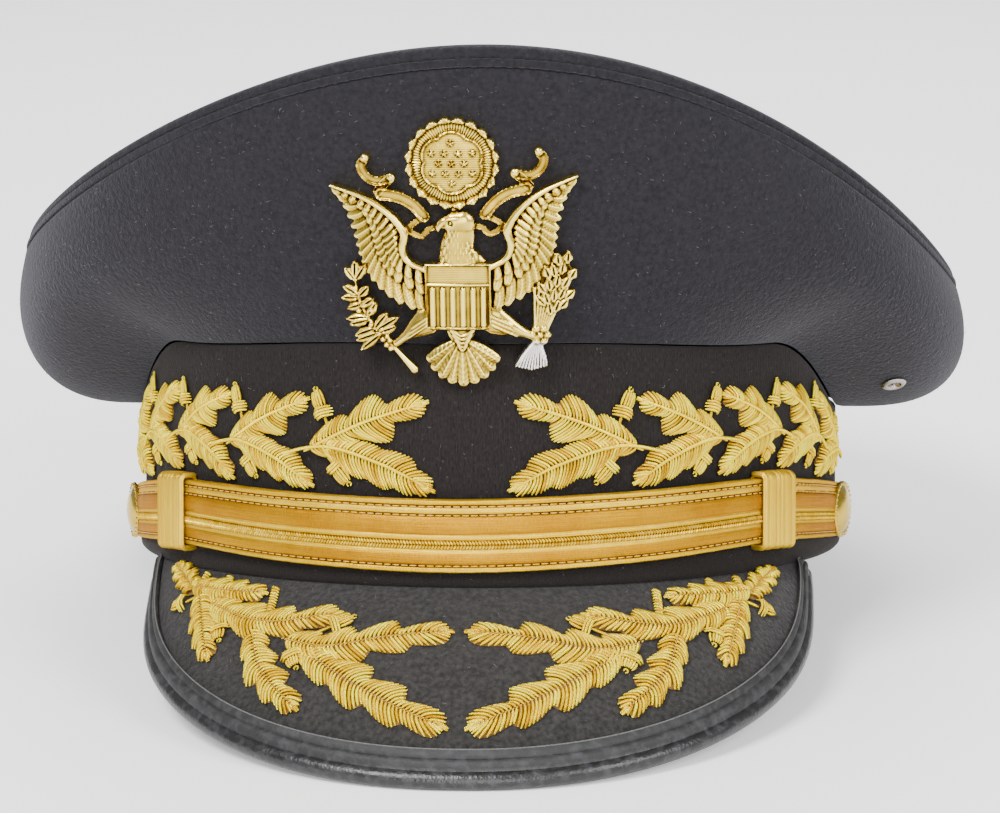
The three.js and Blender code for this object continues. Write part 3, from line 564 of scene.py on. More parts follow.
@dataclass(frozen=True)
class Leather:
    """Black polished leather with a fine grain and light wear."""

    name: str = "binding_leather"
    deep: Colour = (0.006, 0.006, 0.0065)
    worn: Colour = (0.035, 0.035, 0.038)
    gloss: float = 0.3

    def make(self) -> Material:
        """Builds the material."""
        recipe = Recipe(self.name)
        where = recipe.place()
        cells = recipe.node("TexVoronoi", {"Vector": where, "Scale": 1500.0}).outputs["Distance"]
        wear = recipe.noise(where, 420, 5)
        body = recipe.ramp(wear, (0.45, self.deep), (0.8, self.worn))
        rough = recipe.maths("MULTIPLY_ADD", wear, 0.25, self.gloss - 0.06)
        rough = recipe.maths("MULTIPLY_ADD", recipe.tone(), 0.3, rough)
        relief = recipe.bump(cells, 0.00006)
        relief = recipe.bump(recipe.noise(where, 350, 4), 0.00015, relief)
        return recipe.done(Base_Color=body, Roughness=rough, Normal=relief)


@dataclass(frozen=True)
class Bullion:
    """Coiled gold wire; each wire has its own tone."""

    name: str = "gold_bullion"
    shade: Colour = (0.46, 0.22, 0.0)
    body: Colour = (0.90, 0.62, 0.0)
    light: Colour = (1.0, 0.88, 0.03)
    metal: float = 0.8
    rough: float = 0.3
    coil: float = 0.3

    def make(self) -> Material:
        """Builds the material."""
        recipe = Recipe(
            self.name, Metallic=self.metal, Roughness=self.rough, Specular_Tint=self.light
        )
        tarnish = recipe.noise(recipe.place(), 260, 4)
        tone = recipe.maths("MULTIPLY", recipe.tone(), 0.6)
        value = recipe.maths("MULTIPLY_ADD", tarnish, 0.45, tone)
        body = recipe.ramp(value, (0.2, self.shade), (0.5, self.body), (0.85, self.light))
        wave = recipe.node(
            "TexWave",
            {"Vector": recipe.cloth((1.0, 0.35)), "Scale": 1.0 / self.coil / 3.2},
            wave_profile="SIN",
        ).outputs["Fac"]
        relief = recipe.bump(wave, 0.00009)
        return recipe.done(Base_Color=body, Normal=relief)


@dataclass(frozen=True)
class Ground:
    """Dull thread and padding below the gold wires, coloured dark as painted shade in the gaps
    between the wires.
    """

    name: str = "gold_padding_shade"
    deep: Colour = (0.06, 0.022, 0.0)
    pale: Colour = (0.22, 0.10, 0.002)

    def make(self) -> Material:
        """Builds the material."""
        recipe = Recipe(self.name, Roughness=0.8, Sheen_Weight=0.2)
        value = recipe.noise(recipe.place(), 1400, 4)
        body = recipe.ramp(value, (0.3, self.deep), (0.7, self.pale))
        return recipe.done(Base_Color=body, Normal=recipe.bump(value, 0.0002))


@dataclass(frozen=True)
class Lace:
    """Woven metallic lace; the tone tells stitch line, satin, edge and worn crest."""

    name: str = "gold_lace"
    line: Colour = (0.035, 0.012, 0.0)
    satin: Colour = (0.42, 0.185, 0.0)
    edge: Colour = (0.66, 0.40, 0.0)
    worn: Colour = (0.92, 0.68, 0.07)
    metal: float = 0.78
    rough: float = 0.42
    threads: tuple[float, float] = (3.2, 0.35)

    def make(self) -> Material:
        """Builds the material."""
        recipe = Recipe(
            self.name, Metallic=self.metal, Roughness=self.rough, Specular_Tint=self.edge
        )
        weft = recipe.noise(recipe.cloth(self.threads), 1.0, 3)
        warp = recipe.noise(recipe.cloth((0.05, 2.4)), 1.0, 2)
        cloud = recipe.noise(recipe.place(), 60, 3)
        value = recipe.maths("MULTIPLY_ADD", weft, 0.4, recipe.maths("MULTIPLY", warp, 0.6))
        tone = recipe.maths("SUBTRACT", recipe.tone(), 0.15)
        sway = recipe.maths("MULTIPLY_ADD", cloud, 0.3, tone)
        stops = ((0.05, self.line), (0.35, self.satin), (0.7, self.edge), (1.0, self.worn))
        body = recipe.ramp(sway, *stops)
        shine = recipe.ramp(value, (0.3, (0.55, 0.5, 0.42)), (0.65, (1, 1, 1)))
        body = recipe.mix(0.85, body, shine, "MULTIPLY")
        relief = recipe.bump(weft, 0.00012)
        return recipe.done(Base_Color=body, Normal=recipe.bump(warp, 0.00012, relief))


@dataclass(frozen=True)
class Thread:
    """Plain sewing thread."""

    name: str
    colour: Colour
    rough: float = 0.7

    def make(self) -> Material:
        """Builds the material."""
        recipe = Recipe(self.name, Roughness=self.rough)
        value = recipe.noise(recipe.place(), 2500, 2)
        dark = tuple(part * 0.55 for part in self.colour)
        body = recipe.ramp(value, (0.35, dark), (0.65, self.colour))
        return recipe.done(Base_Color=body, Normal=recipe.bump(value, 0.0001))


@dataclass(frozen=True)
class Brass:
    """Stamped brass, with painted highlight on its crests and painted shade in its hollows."""

    name: str = "stamped_brass"
    shaded_hollow: Colour = (0.040, 0.020, 0.002)
    body: Colour = (0.48, 0.32, 0.030)
    crest: Colour = (0.86, 0.68, 0.15)

    def make(self) -> Material:
        """Builds the material."""
        recipe = Recipe(self.name, Metallic=1.0)
        where = recipe.place()
        spots = recipe.noise(where, 420, 5)
        # The tone carries painted shade into the badge's hollows and painted highlight onto its
        # crests.
        tone = recipe.maths("SUBTRACT", recipe.tone(), 0.15)
        value = recipe.maths("MULTIPLY_ADD", spots, 0.3, tone)
        body = recipe.ramp(value, (0.15, self.shaded_hollow), (0.52, self.body), (0.9, self.crest))
        rough = recipe.maths("MULTIPLY_ADD", spots, 0.22, 0.12)
        relief = recipe.bump(spots, 0.00006)
        return recipe.done(Base_Color=body, Roughness=rough, Normal=relief)


@dataclass(frozen=True)
class Finishes:
    """Every material of the cap."""

    wool: Material
    velvet: Material
    visor_cloth: Material
    leather: Material
    bullion: Material
    ground: Material
    lace: Material
    slide_lace: Material
    brass: Material
    silver: Material
    dark_thread: Material
    gold_thread: Material
    pale_edge: Material
    lint: Material

    @classmethod
    def mixed(cls) -> "Finishes":
        """Builds them all."""
        return cls(
            wool=Wool().make(),
            velvet=Velvet().make(),
            # The visor's wool is a lighter copy of the crown's wool: painted light from below and
            # in front.
            visor_cloth=Wool("visor_cloth", (0.009, 0.0085, 0.008), (0.033, 0.031, 0.0295)).make(),
            leather=Leather().make(),
            bullion=Bullion().make(),
            ground=Ground().make(),
            lace=Lace().make(),
            slide_lace=Lace("slide_lace", threads=(0.5, 4.0)).make(),
            brass=Brass().make(),
            # Silver with spotty wear, and on the badge the same painted shade in its hollows and
            # painted highlight on its crests.
            silver=Brass(
                "worn_and_shaded_silver", (0.1, 0.09, 0.08), (0.52, 0.48, 0.44), (0.9, 0.88, 0.85)
            ).make(),
            dark_thread=Thread("dark_thread", (0.010, 0.010, 0.012), 0.9).make(),
            gold_thread=Thread("gold_thread", (0.62, 0.34, 0.03), 0.5).make(),
            pale_edge=Thread("pale_edge", (0.10, 0.10, 0.098)).make(),
            lint=Thread("lint", (0.20, 0.195, 0.21), 0.9).make(),
        )


class Bench:
    """Makes meshes of the cap's own sizes and hands them over as finished pieces."""

    def __init__(self, axes: CapAxes) -> None:
        """Keeps the axes that carry the cap to the row frame."""
        self.axes = axes

    @staticmethod
    def blank() -> Mesh:
        """An empty mesh with a layer for the cloth's coordinates and one for tone."""
        made = bmesh.new()
        made.loops.layers.uv.new(UV_NAME)
        made.verts.layers.float.new(TONE_NAME)
        return made

    @staticmethod
    def woven(made: Mesh, width: float, height: float) -> None:
        """Turns a flat grid's coordinates to millimetres of cloth.

        Args:
            made: A mesh whose coordinates run from 0 to 1.
            width: Real length along the first coordinate.
            height: Real length along the second.
        """
        layer = made.loops.layers.uv.active
        for face in made.faces:
            for loop in face.loops:
                uv = loop[layer].uv
                loop[layer].uv = (uv.x * width, uv.y * height)

    def moulded_grid(
        self, steps: tuple[int, int], place: Place, size: tuple[float, float]
    ) -> Mesh:
        """Bends a flat grid.

        Args:
            steps: Number of faces along and across.
            place: Gives the point for two shares from 0 to 1.
            size: Length and width of the cloth in millimetres.

        Returns:
            The bent grid, with doubles merged.
        """
        made = self.blank()
        bmesh.ops.create_grid(
            made, x_segments=steps[0], y_segments=steps[1], size=0.5, calc_uvs=True
        )
        self.woven(made, *size)
        for vert in made.verts:
            vert.co = place(vert.co.x + 0.5, vert.co.y + 0.5)
        bmesh.ops.remove_doubles(made, verts=made.verts, dist=1e-4)
        return made

    def ring(
        self, steps: int, rows: Sequence, place: Callable, size: tuple[float, float]
    ) -> Mesh:
        """Makes a closed ring round the head.

        Args:
            steps: Faces round the head.
            rows: Rows of the closed section.
            place: Gives the point for a row and an angle.
            size: Length round the head and length round the section.

        Returns:
            The ring.
        """
        count = len(rows)

        def at(share: float, across: float) -> Vector:
            """Point for a share round the head and one round the section."""
            return place(rows[round(across * count) % count], share * TURN)

        return self.moulded_grid((steps, count), at, size)

    @staticmethod
    def join(made: Mesh, extra: Mesh, slot: int = 0) -> None:
        """Adds a second mesh to a mesh and frees it.

        Args:
            made: The mesh that grows.
            extra: The mesh that is added.
            slot: Number of its material.
        """
        for face in extra.faces:
            face.material_index = slot
        mesh = bpy.data.meshes.new("part")
        extra.to_mesh(mesh)
        extra.free()
        made.from_mesh(mesh)
        bpy.data.meshes.remove(mesh)

    @staticmethod
    def paint(made: Mesh, tone: float) -> None:
        """Gives every corner of a mesh one tone."""
        layer = made.verts.layers.float[TONE_NAME]
        for vert in made.verts:
            vert[layer] = tone

    @staticmethod
    def capped(made: Mesh) -> None:
        """Closes the open ends of a swept section."""
        edges = [edge for edge in made.edges if edge.is_boundary]
        bmesh.ops.holes_fill(made, edges=edges, sides=0)

    def piece(
        self,
        name: str,
        made: Mesh,
        materials: Sequence[Material],
        slot: Slot,
        replaces: Sequence[str] = (),
        crease: float = 40.0,
    ) -> bpy.types.Object:
        """Turns a mesh into a piece that rides on the cap.

        Args:
            name: Name of the piece.
            made: Its mesh, on the cap's axes.
            materials: Its materials.
            slot: The record's slot; not used.
            replaces: CAD nodes that it stands for.
            crease: Angle in degrees past which an edge stays sharp.

        Returns:
            The object.
        """
        bmesh.ops.transform(made, matrix=self.axes.matrix, verts=made.verts)
        bmesh.ops.recalc_face_normals(made, faces=made.faces)
        for face in made.faces:
            face.smooth = True
        mesh = bpy.data.meshes.new(name)
        made.to_mesh(mesh)
        made.free()
        mesh.set_sharp_from_angle(angle=math.radians(crease))
        for material in materials:
            mesh.materials.append(material)
        made_object = bpy.data.objects.new(name, mesh)
        bpy.context.scene.collection.objects.link(made_object)
        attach(made_object, "root")
        if replaces:
            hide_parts(*replaces)
        triangles = sum(len(polygon.vertices) - 2 for polygon in mesh.polygons)
        log.info("%s: %d triangles", name, triangles)
        return made_object


class Wire:
    """A straight tube of unit radius that is laid along paths again and again."""

    def __init__(self, rings: int, sides: int, blunt: float = 0.55) -> None:
        """Makes the tube.

        Args:
            rings: Number of rings of corners.
            sides: Corners in each ring.
            blunt: Radius of the end rings, as a share.
        """
        self.rings = rings
        made = Bench.blank()
        bmesh.ops.create_grid(made, x_segments=rings - 1, y_segments=sides, size=0.5, calc_uvs=True)
        for vert in made.verts:
            ring = round((vert.co.x + 0.5) * (rings - 1))
            turn = (vert.co.y + 0.5) * TURN
            reach = blunt if ring in (0, rings - 1) else 1.0
            vert.co = Vector((ring, math.cos(turn) * reach, math.sin(turn) * reach))
        bmesh.ops.remove_doubles(made, verts=made.verts, dist=1e-4)
        Bench.capped(made)
        self.mesh = bpy.data.meshes.new("wire")
        made.to_mesh(self.mesh)
        made.free()

    def lay(
        self,
        made: Mesh,
        path: Sequence[Vector],
        ups: Sequence[Vector],
        radius: float,
        tone: float = 0.5,
        slot: int = 0,
    ) -> None:
        """Lays one wire.

        Args:
            made: The mesh that it joins.
            path: One point for each ring.
            ups: One outward direction for each ring.
            radius: Radius of the wire.
            tone: Its tone from 0 to 1.
            slot: Number of its material.
        """
        first = len(made.verts)
        first_face = len(made.faces)
        made.from_mesh(self.mesh)
        made.verts.ensure_lookup_table()
        made.faces.ensure_lookup_table()
        sides = []
        lifts = []
        length = 0.0
        for index, up in enumerate(ups):
            near = path[max(index - 1, 0)]
            far = path[min(index + 1, len(path) - 1)]
            along = (far - near).normalized()
            side = along.cross(up).normalized()
            sides.append(side * radius)
            lifts.append(side.cross(along) * radius)
            length += (path[index] - near).length if index else 0.0
        tones = made.verts.layers.float[TONE_NAME]
        for vert in made.verts[first:]:
            ring = round(vert.co.x)
            vert.co = path[ring] + sides[ring] * vert.co.y + lifts[ring] * vert.co.z
            vert[tones] = tone
        layer = made.loops.layers.uv.active
        for face in made.faces[first_face:]:
            face.material_index = slot
            for loop in face.loops:
                uv = loop[layer].uv
                loop[layer].uv = (uv.x * length, uv.y * radius * TURN)


class Track:
    """A path on a sheet, measured in millimetres."""

    def __init__(self, sheet: Sheet, points: Line, steps: int = 48) -> None:
        """Measures the path.

        Args:
            sheet: The surface.
            points: Points of the path, in the sheet's coordinates.
            steps: Number of measured steps.
        """
        curve = Spline(points)
        where = [curve.at(step / steps) for step in range(steps + 1)]
        self.points = [sheet.at(*pair) for pair in where]
        self.normals = [sheet.normal(*pair) for pair in where]
        self.marks = [0.0]
        for near, far in zip(self.points, self.points[1:]):
            self.marks.append(self.marks[-1] + (far - near).length)
        self.length = self.marks[-1]

    def frame(self, distance: float) -> tuple[Vector, Vector, Vector, Vector]:
        """Finds a place along the path, which runs on straight past its ends.

        Args:
            distance: Millimetres from its start.

        Returns:
            The point, and the directions along, across and out.
        """
        last = len(self.points) - 1
        inside = min(max(distance, 0.0), self.length)
        index = 0
        while index < last - 1 and self.marks[index + 1] < inside:
            index += 1
        span = self.marks[index + 1] - self.marks[index]
        share = (inside - self.marks[index]) / span if span else 0.0
        point = self.points[index].lerp(self.points[index + 1], share)
        normal = self.normals[index].lerp(self.normals[index + 1], share).normalized()
        near = self.points[max(index - 1, 0)]
        far = self.points[min(index + 2, last)]
        along = (far - near).normalized()
        across = normal.cross(along).normalized()
        return point + along * (distance - inside), along, across, normal


@dataclass
class CrownAndBand:
    """The wool crown, its welt and stitches, and the velvet band."""

    shape: CapShape
    bench: Bench
    finishes: Finishes
    steps: int = 288
    stitch_pitch: float = 2.7
    stitch_length: float = 1.9
    stitch_radius: float = 0.16
    nip: float = 0.08
    lint_count: int = 1800
    lint_seed: int = 7
    eyelet_radius: float = 2.2
    eyelets: tuple[tuple[Side, float, float], ...] = (
        (Side.LEFT, math.radians(-104), 0.36),
        (Side.RIGHT, math.radians(76), 0.24),
    )

    def build(self) -> None:
        """Builds every piece of the crown and band."""
        self.band()
        self.side()
        self.welt()
        self.top()
        self.stitches()
        self.lint()

    def band(self) -> None:
        """Builds the velvet band."""
        wall = self.shape.band_wall
        roll = ((0.0, -0.25), (0.7, -0.4), (1.15, 0.1), (1.3, 0.9), (1.2, 2.0))
        roll += ((0.8, 3.4), (0.3, 4.8))
        rows = [(-0.88 * wall, 0, 0.12), (-0.5 * wall, 0, 0.0)]
        rows += [(out, 0, height) for out, height in roll]
        rows += [(0, share / 14, 0) for share in range(2, 14)]
        rows += [(0, 1, -0.4), (-0.12 * wall, 1, 0.12), (-0.5 * wall, 1, 0.2)]
        rows += [(-0.88 * wall, 1, 0.1), (-wall, 1, -0.9), (-wall, 0.66, 0)]
        rows += [(-wall, 0.33, 0), (-wall, 0, 0.9)]

        def place(row: tuple[float, float, float], angle: float) -> Vector:
            """Point for a row of the section: distance out, share of the height, and lift."""
            height = row[1] * self.shape.band_top(angle) + row[2]
            return self.shape.band_oval(angle, row[0], height)

        made = self.bench.ring(self.steps, rows, place, (600.0, 112.0))
        self.bench.piece("velvet_band", made, [self.finishes.velvet], Slot.VELVET, ["hat_band"])

    def side(self) -> None:
        """Builds the crown's wall with holes for the eyelets."""
        sheet = self.shape.crown_sheet()
        wall = self.shape.crown_wall
        rows = [(0, 1.2), (0, 0.45), (0.004, 0.08), (0.02, -0.12)]
        rows += [(share / 36, 0.0) for share in range(2, 35)]
        rows += [(0.985, -0.05), (0.996, 0.2), (1, 0.6), (1, wall)]
        rows += [(share / 8, wall) for share in range(7, -1, -1)]

        def place(row: tuple[float, float], angle: float) -> Vector:
            """Point for a row of the section: share of the height, and depth into the wall."""
            sway = 0.25 * math.sin(3 * angle + 0.6) + 0.18 * math.sin(7 * angle + 2.1)
            sway *= math.sin(math.pi * row[0])
            return sheet.place(angle, row[0], sway - row[1])

        made = self.bench.ring(self.steps, rows, place, (700.0, 150.0))
        piece = self.bench.piece("wool_side", made, [self.finishes.wool], Slot.WOOL, ["crown_side"])
        self.pierce(piece)

    def pierce(self, piece: bpy.types.Object) -> None:
        """Cuts the eyelets' holes.

        Args:
            piece: The crown's wall.
        """
        sheet = self.shape.crown_sheet()
        made = bmesh.new()
        for _, angle, share in self.eyelets:
            normal = sheet.normal(angle, share)
            turn = normal.to_track_quat("Z", "Y").to_matrix().to_4x4()
            matrix = Matrix.Translation(sheet.at(angle, share)) @ turn
            bmesh.ops.create_cone(
                made,
                cap_ends=True,
                segments=24,
                radius1=self.eyelet_radius,
                radius2=self.eyelet_radius,
                depth=9,
                matrix=matrix,
            )
        bmesh.ops.transform(made, matrix=self.bench.axes.matrix, verts=made.verts)
        mesh = bpy.data.meshes.new("drill")
        made.to_mesh(mesh)
        made.free()
        drill = bpy.data.objects.new("drill", mesh)
        bpy.context.scene.collection.objects.link(drill)
        cut = piece.modifiers.new("holes", "BOOLEAN")
        cut.operation = "DIFFERENCE"
        cut.solver = "EXACT"
        cut.object = drill
        graph = bpy.context.evaluated_depsgraph_get()
        pierced = bpy.data.meshes.new_from_object(piece.evaluated_get(graph))
        piece.modifiers.remove(cut)
        piece.data = pierced
        bpy.data.objects.remove(drill)

    def welt(self) -> None:
        """Builds the low roll between the two rows of stitches."""
        wall = self.shape.crown_wall
        foot = -self.shape.edge_turn - self.shape.welt_height + self.nip
        head = -self.shape.edge_turn + self.shape.seam_gap - self.nip
        middle = (foot + head) / 2
        rows = [(foot, -wall), (foot, -0.7), (foot + 0.03, -0.2), (foot + 0.25, 0.16)]
        rows += [(middle, 0.36), (head - 0.25, 0.16), (head - 0.03, -0.2)]
        rows += [(head, -0.7), (head, -wall)]

        def place(row: tuple[float, float], angle: float) -> Vector:
            """Point for a row of the section: rise, and distance out."""
            return self.shape.rim_roll(angle, row[0], row[1])

        made = self.bench.ring(self.steps, rows, place, (740.0, 8.0))
        self.bench.piece("wool_welt", made, [self.finishes.wool], Slot.WOOL, ["crown_welt"])

    def top(self) -> None:
        """Builds the stretched top with its turned edge."""
        shape = self.shape
        wall = shape.crown_wall
        low = -shape.edge_turn + shape.seam_gap
        edge = [(0.0, -2.6), (-0.05, -1.75), (-0.2, -1.0), (-0.5, -0.4), (-0.95, -0.02)]
        edge += [(-1.4, 0.16), (-1.9, 0.16), (low + 0.25, 0.0), (low + 0.03, -0.3), (low, -0.8)]
        edge += [(low, -wall)]
        reaches = [0, 0.04, 0.1, *[share / 20 for share in range(4, 20)], 0.975]
        rows = [("flat", reach, 0.0) for reach in reaches]
        rows += [("edge", *pair) for pair in edge]
        rows += [("flat", reach, wall) for reach in (1, 0.8, 0.6, 0.4, 0.2, 0)]
        count = 96
        angles = [number / count * TURN for number in range(count)]
        hoop = [shape.rim_roll(angle, *edge[0]) for angle in angles]
        level = sum(point.z for point in hoop) / count
        pitch = 2 * sum(point.z * math.cos(angle) for point, angle in zip(hoop, angles)) / count
        roll = 2 * sum(point.z * math.sin(angle) for point, angle in zip(hoop, angles)) / count
        centre = sum(point.y for point in hoop) / count

        def place(row: tuple[str, float, float], angle: float) -> Vector:
            """Point for a row of the section: on the turned edge, or on the flat."""
            kind, first, second = row
            if kind == "edge":
                return shape.rim_roll(angle, first, second)
            point = shape.rim_roll(angle, *edge[0])
            slope = pitch * math.cos(angle) + roll * math.sin(angle)
            curl = point.z - level - slope
            sag = shape.top_sag * (1 - first * first)
            height = level + first * slope + first**3 * curl - sag - second
            return Vector((point.x * first, lerp(centre, point.y, first), height))

        def at(share: float, across: float) -> Vector:
            """Point for a share round the head and one across the section."""
            return place(rows[round(across * (len(rows) - 1))], share * TURN)

        made = self.bench.moulded_grid((self.steps, len(rows) - 1), at, (740.0, 260.0))
        self.bench.piece("wool_top", made, [self.finishes.wool], Slot.WOOL, ["crown_top"])

    def stitches(self) -> None:
        """Sews the two rows of stitches beside the welt."""
        made = self.bench.blank()
        wire = Wire(4, 6)
        count = round(740 / self.stitch_pitch)
        head = -self.shape.edge_turn + 0.15
        foot = -self.shape.edge_turn - self.shape.welt_height + 0.15
        for rise in (head, foot):
            for number in range(count):
                middle = (number + 0.5) / count * TURN
                half = self.stitch_length / self.stitch_pitch / count * TURN / 2
                angles = [middle + half * share for share in (-1, -0.4, 0.4, 1)]
                depths = (-0.28, -0.02, -0.02, -0.28)
                path = [self.shape.rim_roll(a, rise, d) for a, d in zip(angles, depths)]
                ups = [self.shape.upright(a, 0) for a in angles]
                wire.lay(made, path, ups, self.stitch_radius)
        self.bench.piece("crown_stitches", made, [self.finishes.dark_thread], Slot.WOOL)

    def lint(self) -> None:
        """Scatters short pale fibres over the wool and velvet."""
        draw = random.Random(self.lint_seed)
        made = self.bench.blank()
        wire = Wire(4, 3, 0.4)
        crown = self.shape.crown_sheet()
        visor = self.shape.visor_sheet()
        band = self.shape.band_sheet()
        band_spot = (band, (-0.9, 0.9), (20, 50), (0.010, 1.0))
        visor_spot = (visor, (-1.0, 1.0), (0.06, 0.72), (0.010, 0.02))
        crown_spot = (crown, (-math.pi, math.pi), (0.02, 0.98), (0.009, 0.012))
        for number in range(self.lint_count):
            if number % 20 == 0:
                sheet, span, rise, spread = band_spot
            elif number % 10 == 1:
                sheet, span, rise, spread = visor_spot
            else:
                sheet, span, rise, spread = crown_spot
            first, second = draw.uniform(*span), draw.uniform(*rise)
            turn = draw.uniform(0, TURN)
            reach = draw.uniform(0.3, 1.2)
            bend = draw.uniform(-0.8, 0.8)
            lift = draw.uniform(0.05, 0.5)
            path = []
            for step in range(4):
                share = step / 3 - 0.5
                heading = turn + bend * share
                a = first + spread[0] * reach * share * math.cos(heading)
                b = second + spread[1] * reach * share * math.sin(heading)
                path.append(sheet.place(a, b, 0.08 + lift * math.sin(math.pi * step / 3)))
            up = sheet.normal(first, second)
            wire.lay(made, path, [up] * 4, draw.uniform(0.018, 0.034))
        self.bench.piece("lint_fibres", made, [self.finishes.lint], Slot.WOOL)


@dataclass
class Visor:
    """The cloth visor and its leather binding."""

    shape: CapShape
    bench: Bench
    finishes: Finishes
    steps: int = 180
    crowding: float = math.radians(78)
    gap: float = 0.5
    leather: float = 1.0
    stitch_inward: float = 6.3
    roll_radius: float = 2.15
    stitch_pitch: float = 2.3

    def build(self) -> None:
        """Builds the visor, its binding and its stitches."""
        self.sheet = self.shape.visor_sheet()
        self.rim = [self.place(self.angle(number / 40 - 1), 0.0, -1.0) for number in range(81)]
        self.cloth()
        self.binding()
        self.stitches()

    def angle(self, share: float) -> float:
        """Angle for a share from -1 to 1 across the visor."""
        end = self.shape.visor_arc * self.shape.visor_end_share
        return end * math.sin(share * self.crowding) / math.sin(self.crowding)

    def length(self, angle: float) -> float:
        """Length of the visor from the band to its edge at an angle."""
        return (self.shape.visor_point(angle, 0) - self.shape.visor_point(angle, 1)).length

    def taper(self, angle: float) -> float:
        """How far the sheet keeps its full section at an angle."""
        return min(1, self.length(angle) / (self.shape.binding_width + self.shape.binding_margin))

    def place(self, angle: float, inward: float, out: float) -> Vector:
        """Point a distance in from the visor's edge and out of its upper face."""
        taper = self.taper(angle)
        share = 1 - inward * taper / self.length(angle)
        return self.sheet.place(angle, share, out * taper)

    def from_edge(self, point: Vector) -> float:
        """Distance of a point from the visor's outer edge."""
        return min((point - spot).length for spot in self.rim)

    def cloth(self) -> None:
        """Builds the cloth sheet."""
        thick = self.shape.visor_thickness
        rim = self.shape.bead_radius + self.shape.seam_gap
        upper = [(share / 14, 0.0) for share in range(15)]
        under = [(share / 5, -thick) for share in range(5, -1, -1)]
        rows = [*upper, (1.0, -thick / 2), *under]

        def at(share: float, across: float) -> Vector:
            """Point for a share of the visor's width and one round its section."""
            inside, out = rows[round(across * len(rows)) % len(rows)]
            angle = self.angle(2 * share - 1)
            span = self.length(angle) / self.taper(angle)
            return self.place(angle, lerp(rim, span, inside), out)

        made = self.bench.moulded_grid((self.steps, len(rows)), at, (250.0, 110.0))
        self.bench.capped(made)
        # The visor's lighter wool is painted light from below and in front.
        self.bench.piece("visor_felt", made, [self.finishes.visor_cloth], Slot.WOOL, ["visor"])

    def binding(self) -> None:
        """Builds the leather binding with its rolled bead."""
        width = self.shape.binding_width
        radius = self.roll_radius
        thick = self.shape.visor_thickness
        face = self.gap + self.leather
        middle = -thick / 2
        rows = [(width, self.gap), (width + 0.12, self.gap + 0.35), (width + 0.1, face - 0.2)]
        rows += [(width - 0.15, face), (width - 0.55, face - 0.02)]
        rows += [(self.stitch_inward + 0.6, face - 0.04), (self.stitch_inward, face - 0.45)]
        rows += [(self.stitch_inward - 0.6, face - 0.04), (2 * radius + 0.35, face - 0.1)]
        rows += [(2 * radius - 0.1, face - 0.5)]
        for step in range(15):
            turn = math.radians(lerp(52, 308, step / 14))
            rows.append((radius + radius * math.cos(turn), middle + radius * math.sin(turn)))
        rows += [(2 * radius + 0.5, -thick - face + 0.1), (width, -thick - face)]
        rows += [(width, -thick - self.gap), (3.1, -thick - self.gap), (3.1, self.gap)]

        def at(share: float, across: float) -> Vector:
            """Point for a share along the binding and one round its section."""
            inward, out = rows[round(across * len(rows)) % len(rows)]
            return self.place(self.angle(2 * share - 1), inward, out)

        made = self.bench.moulded_grid((self.steps, len(rows)), at, (250.0, 40.0))
        self.bench.capped(made)
        tones = made.verts.layers.float[TONE_NAME]
        for vert in made.verts:
            vert[tones] = 1.0 if self.from_edge(vert.co) > 2 * radius + 0.2 else 0.0
        leather = [self.finishes.leather]
        self.bench.piece("leather_binding", made, leather, Slot.LEATHER, ["visor_binding"])

    def stitches(self) -> None:
        """Sews the row of stitches along the binding."""
        made = self.bench.blank()
        wire = Wire(4, 6)
        track = Track(
            Sheet(lambda share, inward: self.place(self.angle(share), inward, 0), -1),
            [(share / 10, self.stitch_inward) for share in range(-10, 11)],
            300,
        )
        count = round(track.length / self.stitch_pitch)
        out = self.gap + self.leather
        for number in range(1, count - 1):
            middle = (number + 0.5) * track.length / count
            path = []
            for reach, lift in ((-0.75, -0.5), (-0.3, -0.14), (0.3, -0.14), (0.75, -0.5)):
                point, _, _, normal = track.frame(middle + reach)
                path.append(point + normal * (out + lift))
            wire.lay(made, path, [normal] * 4, 0.26)
        edge = Wire(161, 6)
        angles = [self.angle(number / 80 - 1) for number in range(161)]
        path = [self.place(angle, self.shape.binding_width, out) for angle in angles]
        ups = [self.sheet.normal(angle, 0.8) for angle in angles]
        edge.lay(made, path, ups, 0.16, 0.5, 1)
        threads = [self.finishes.dark_thread, self.finishes.pale_edge]
        self.bench.piece("binding_stitches", made, threads, Slot.LEATHER)


@dataclass(frozen=True)
class Ridge:
    """A half-round ridge that runs the length of the lace."""

    middle: float
    half_width: float
    height: float


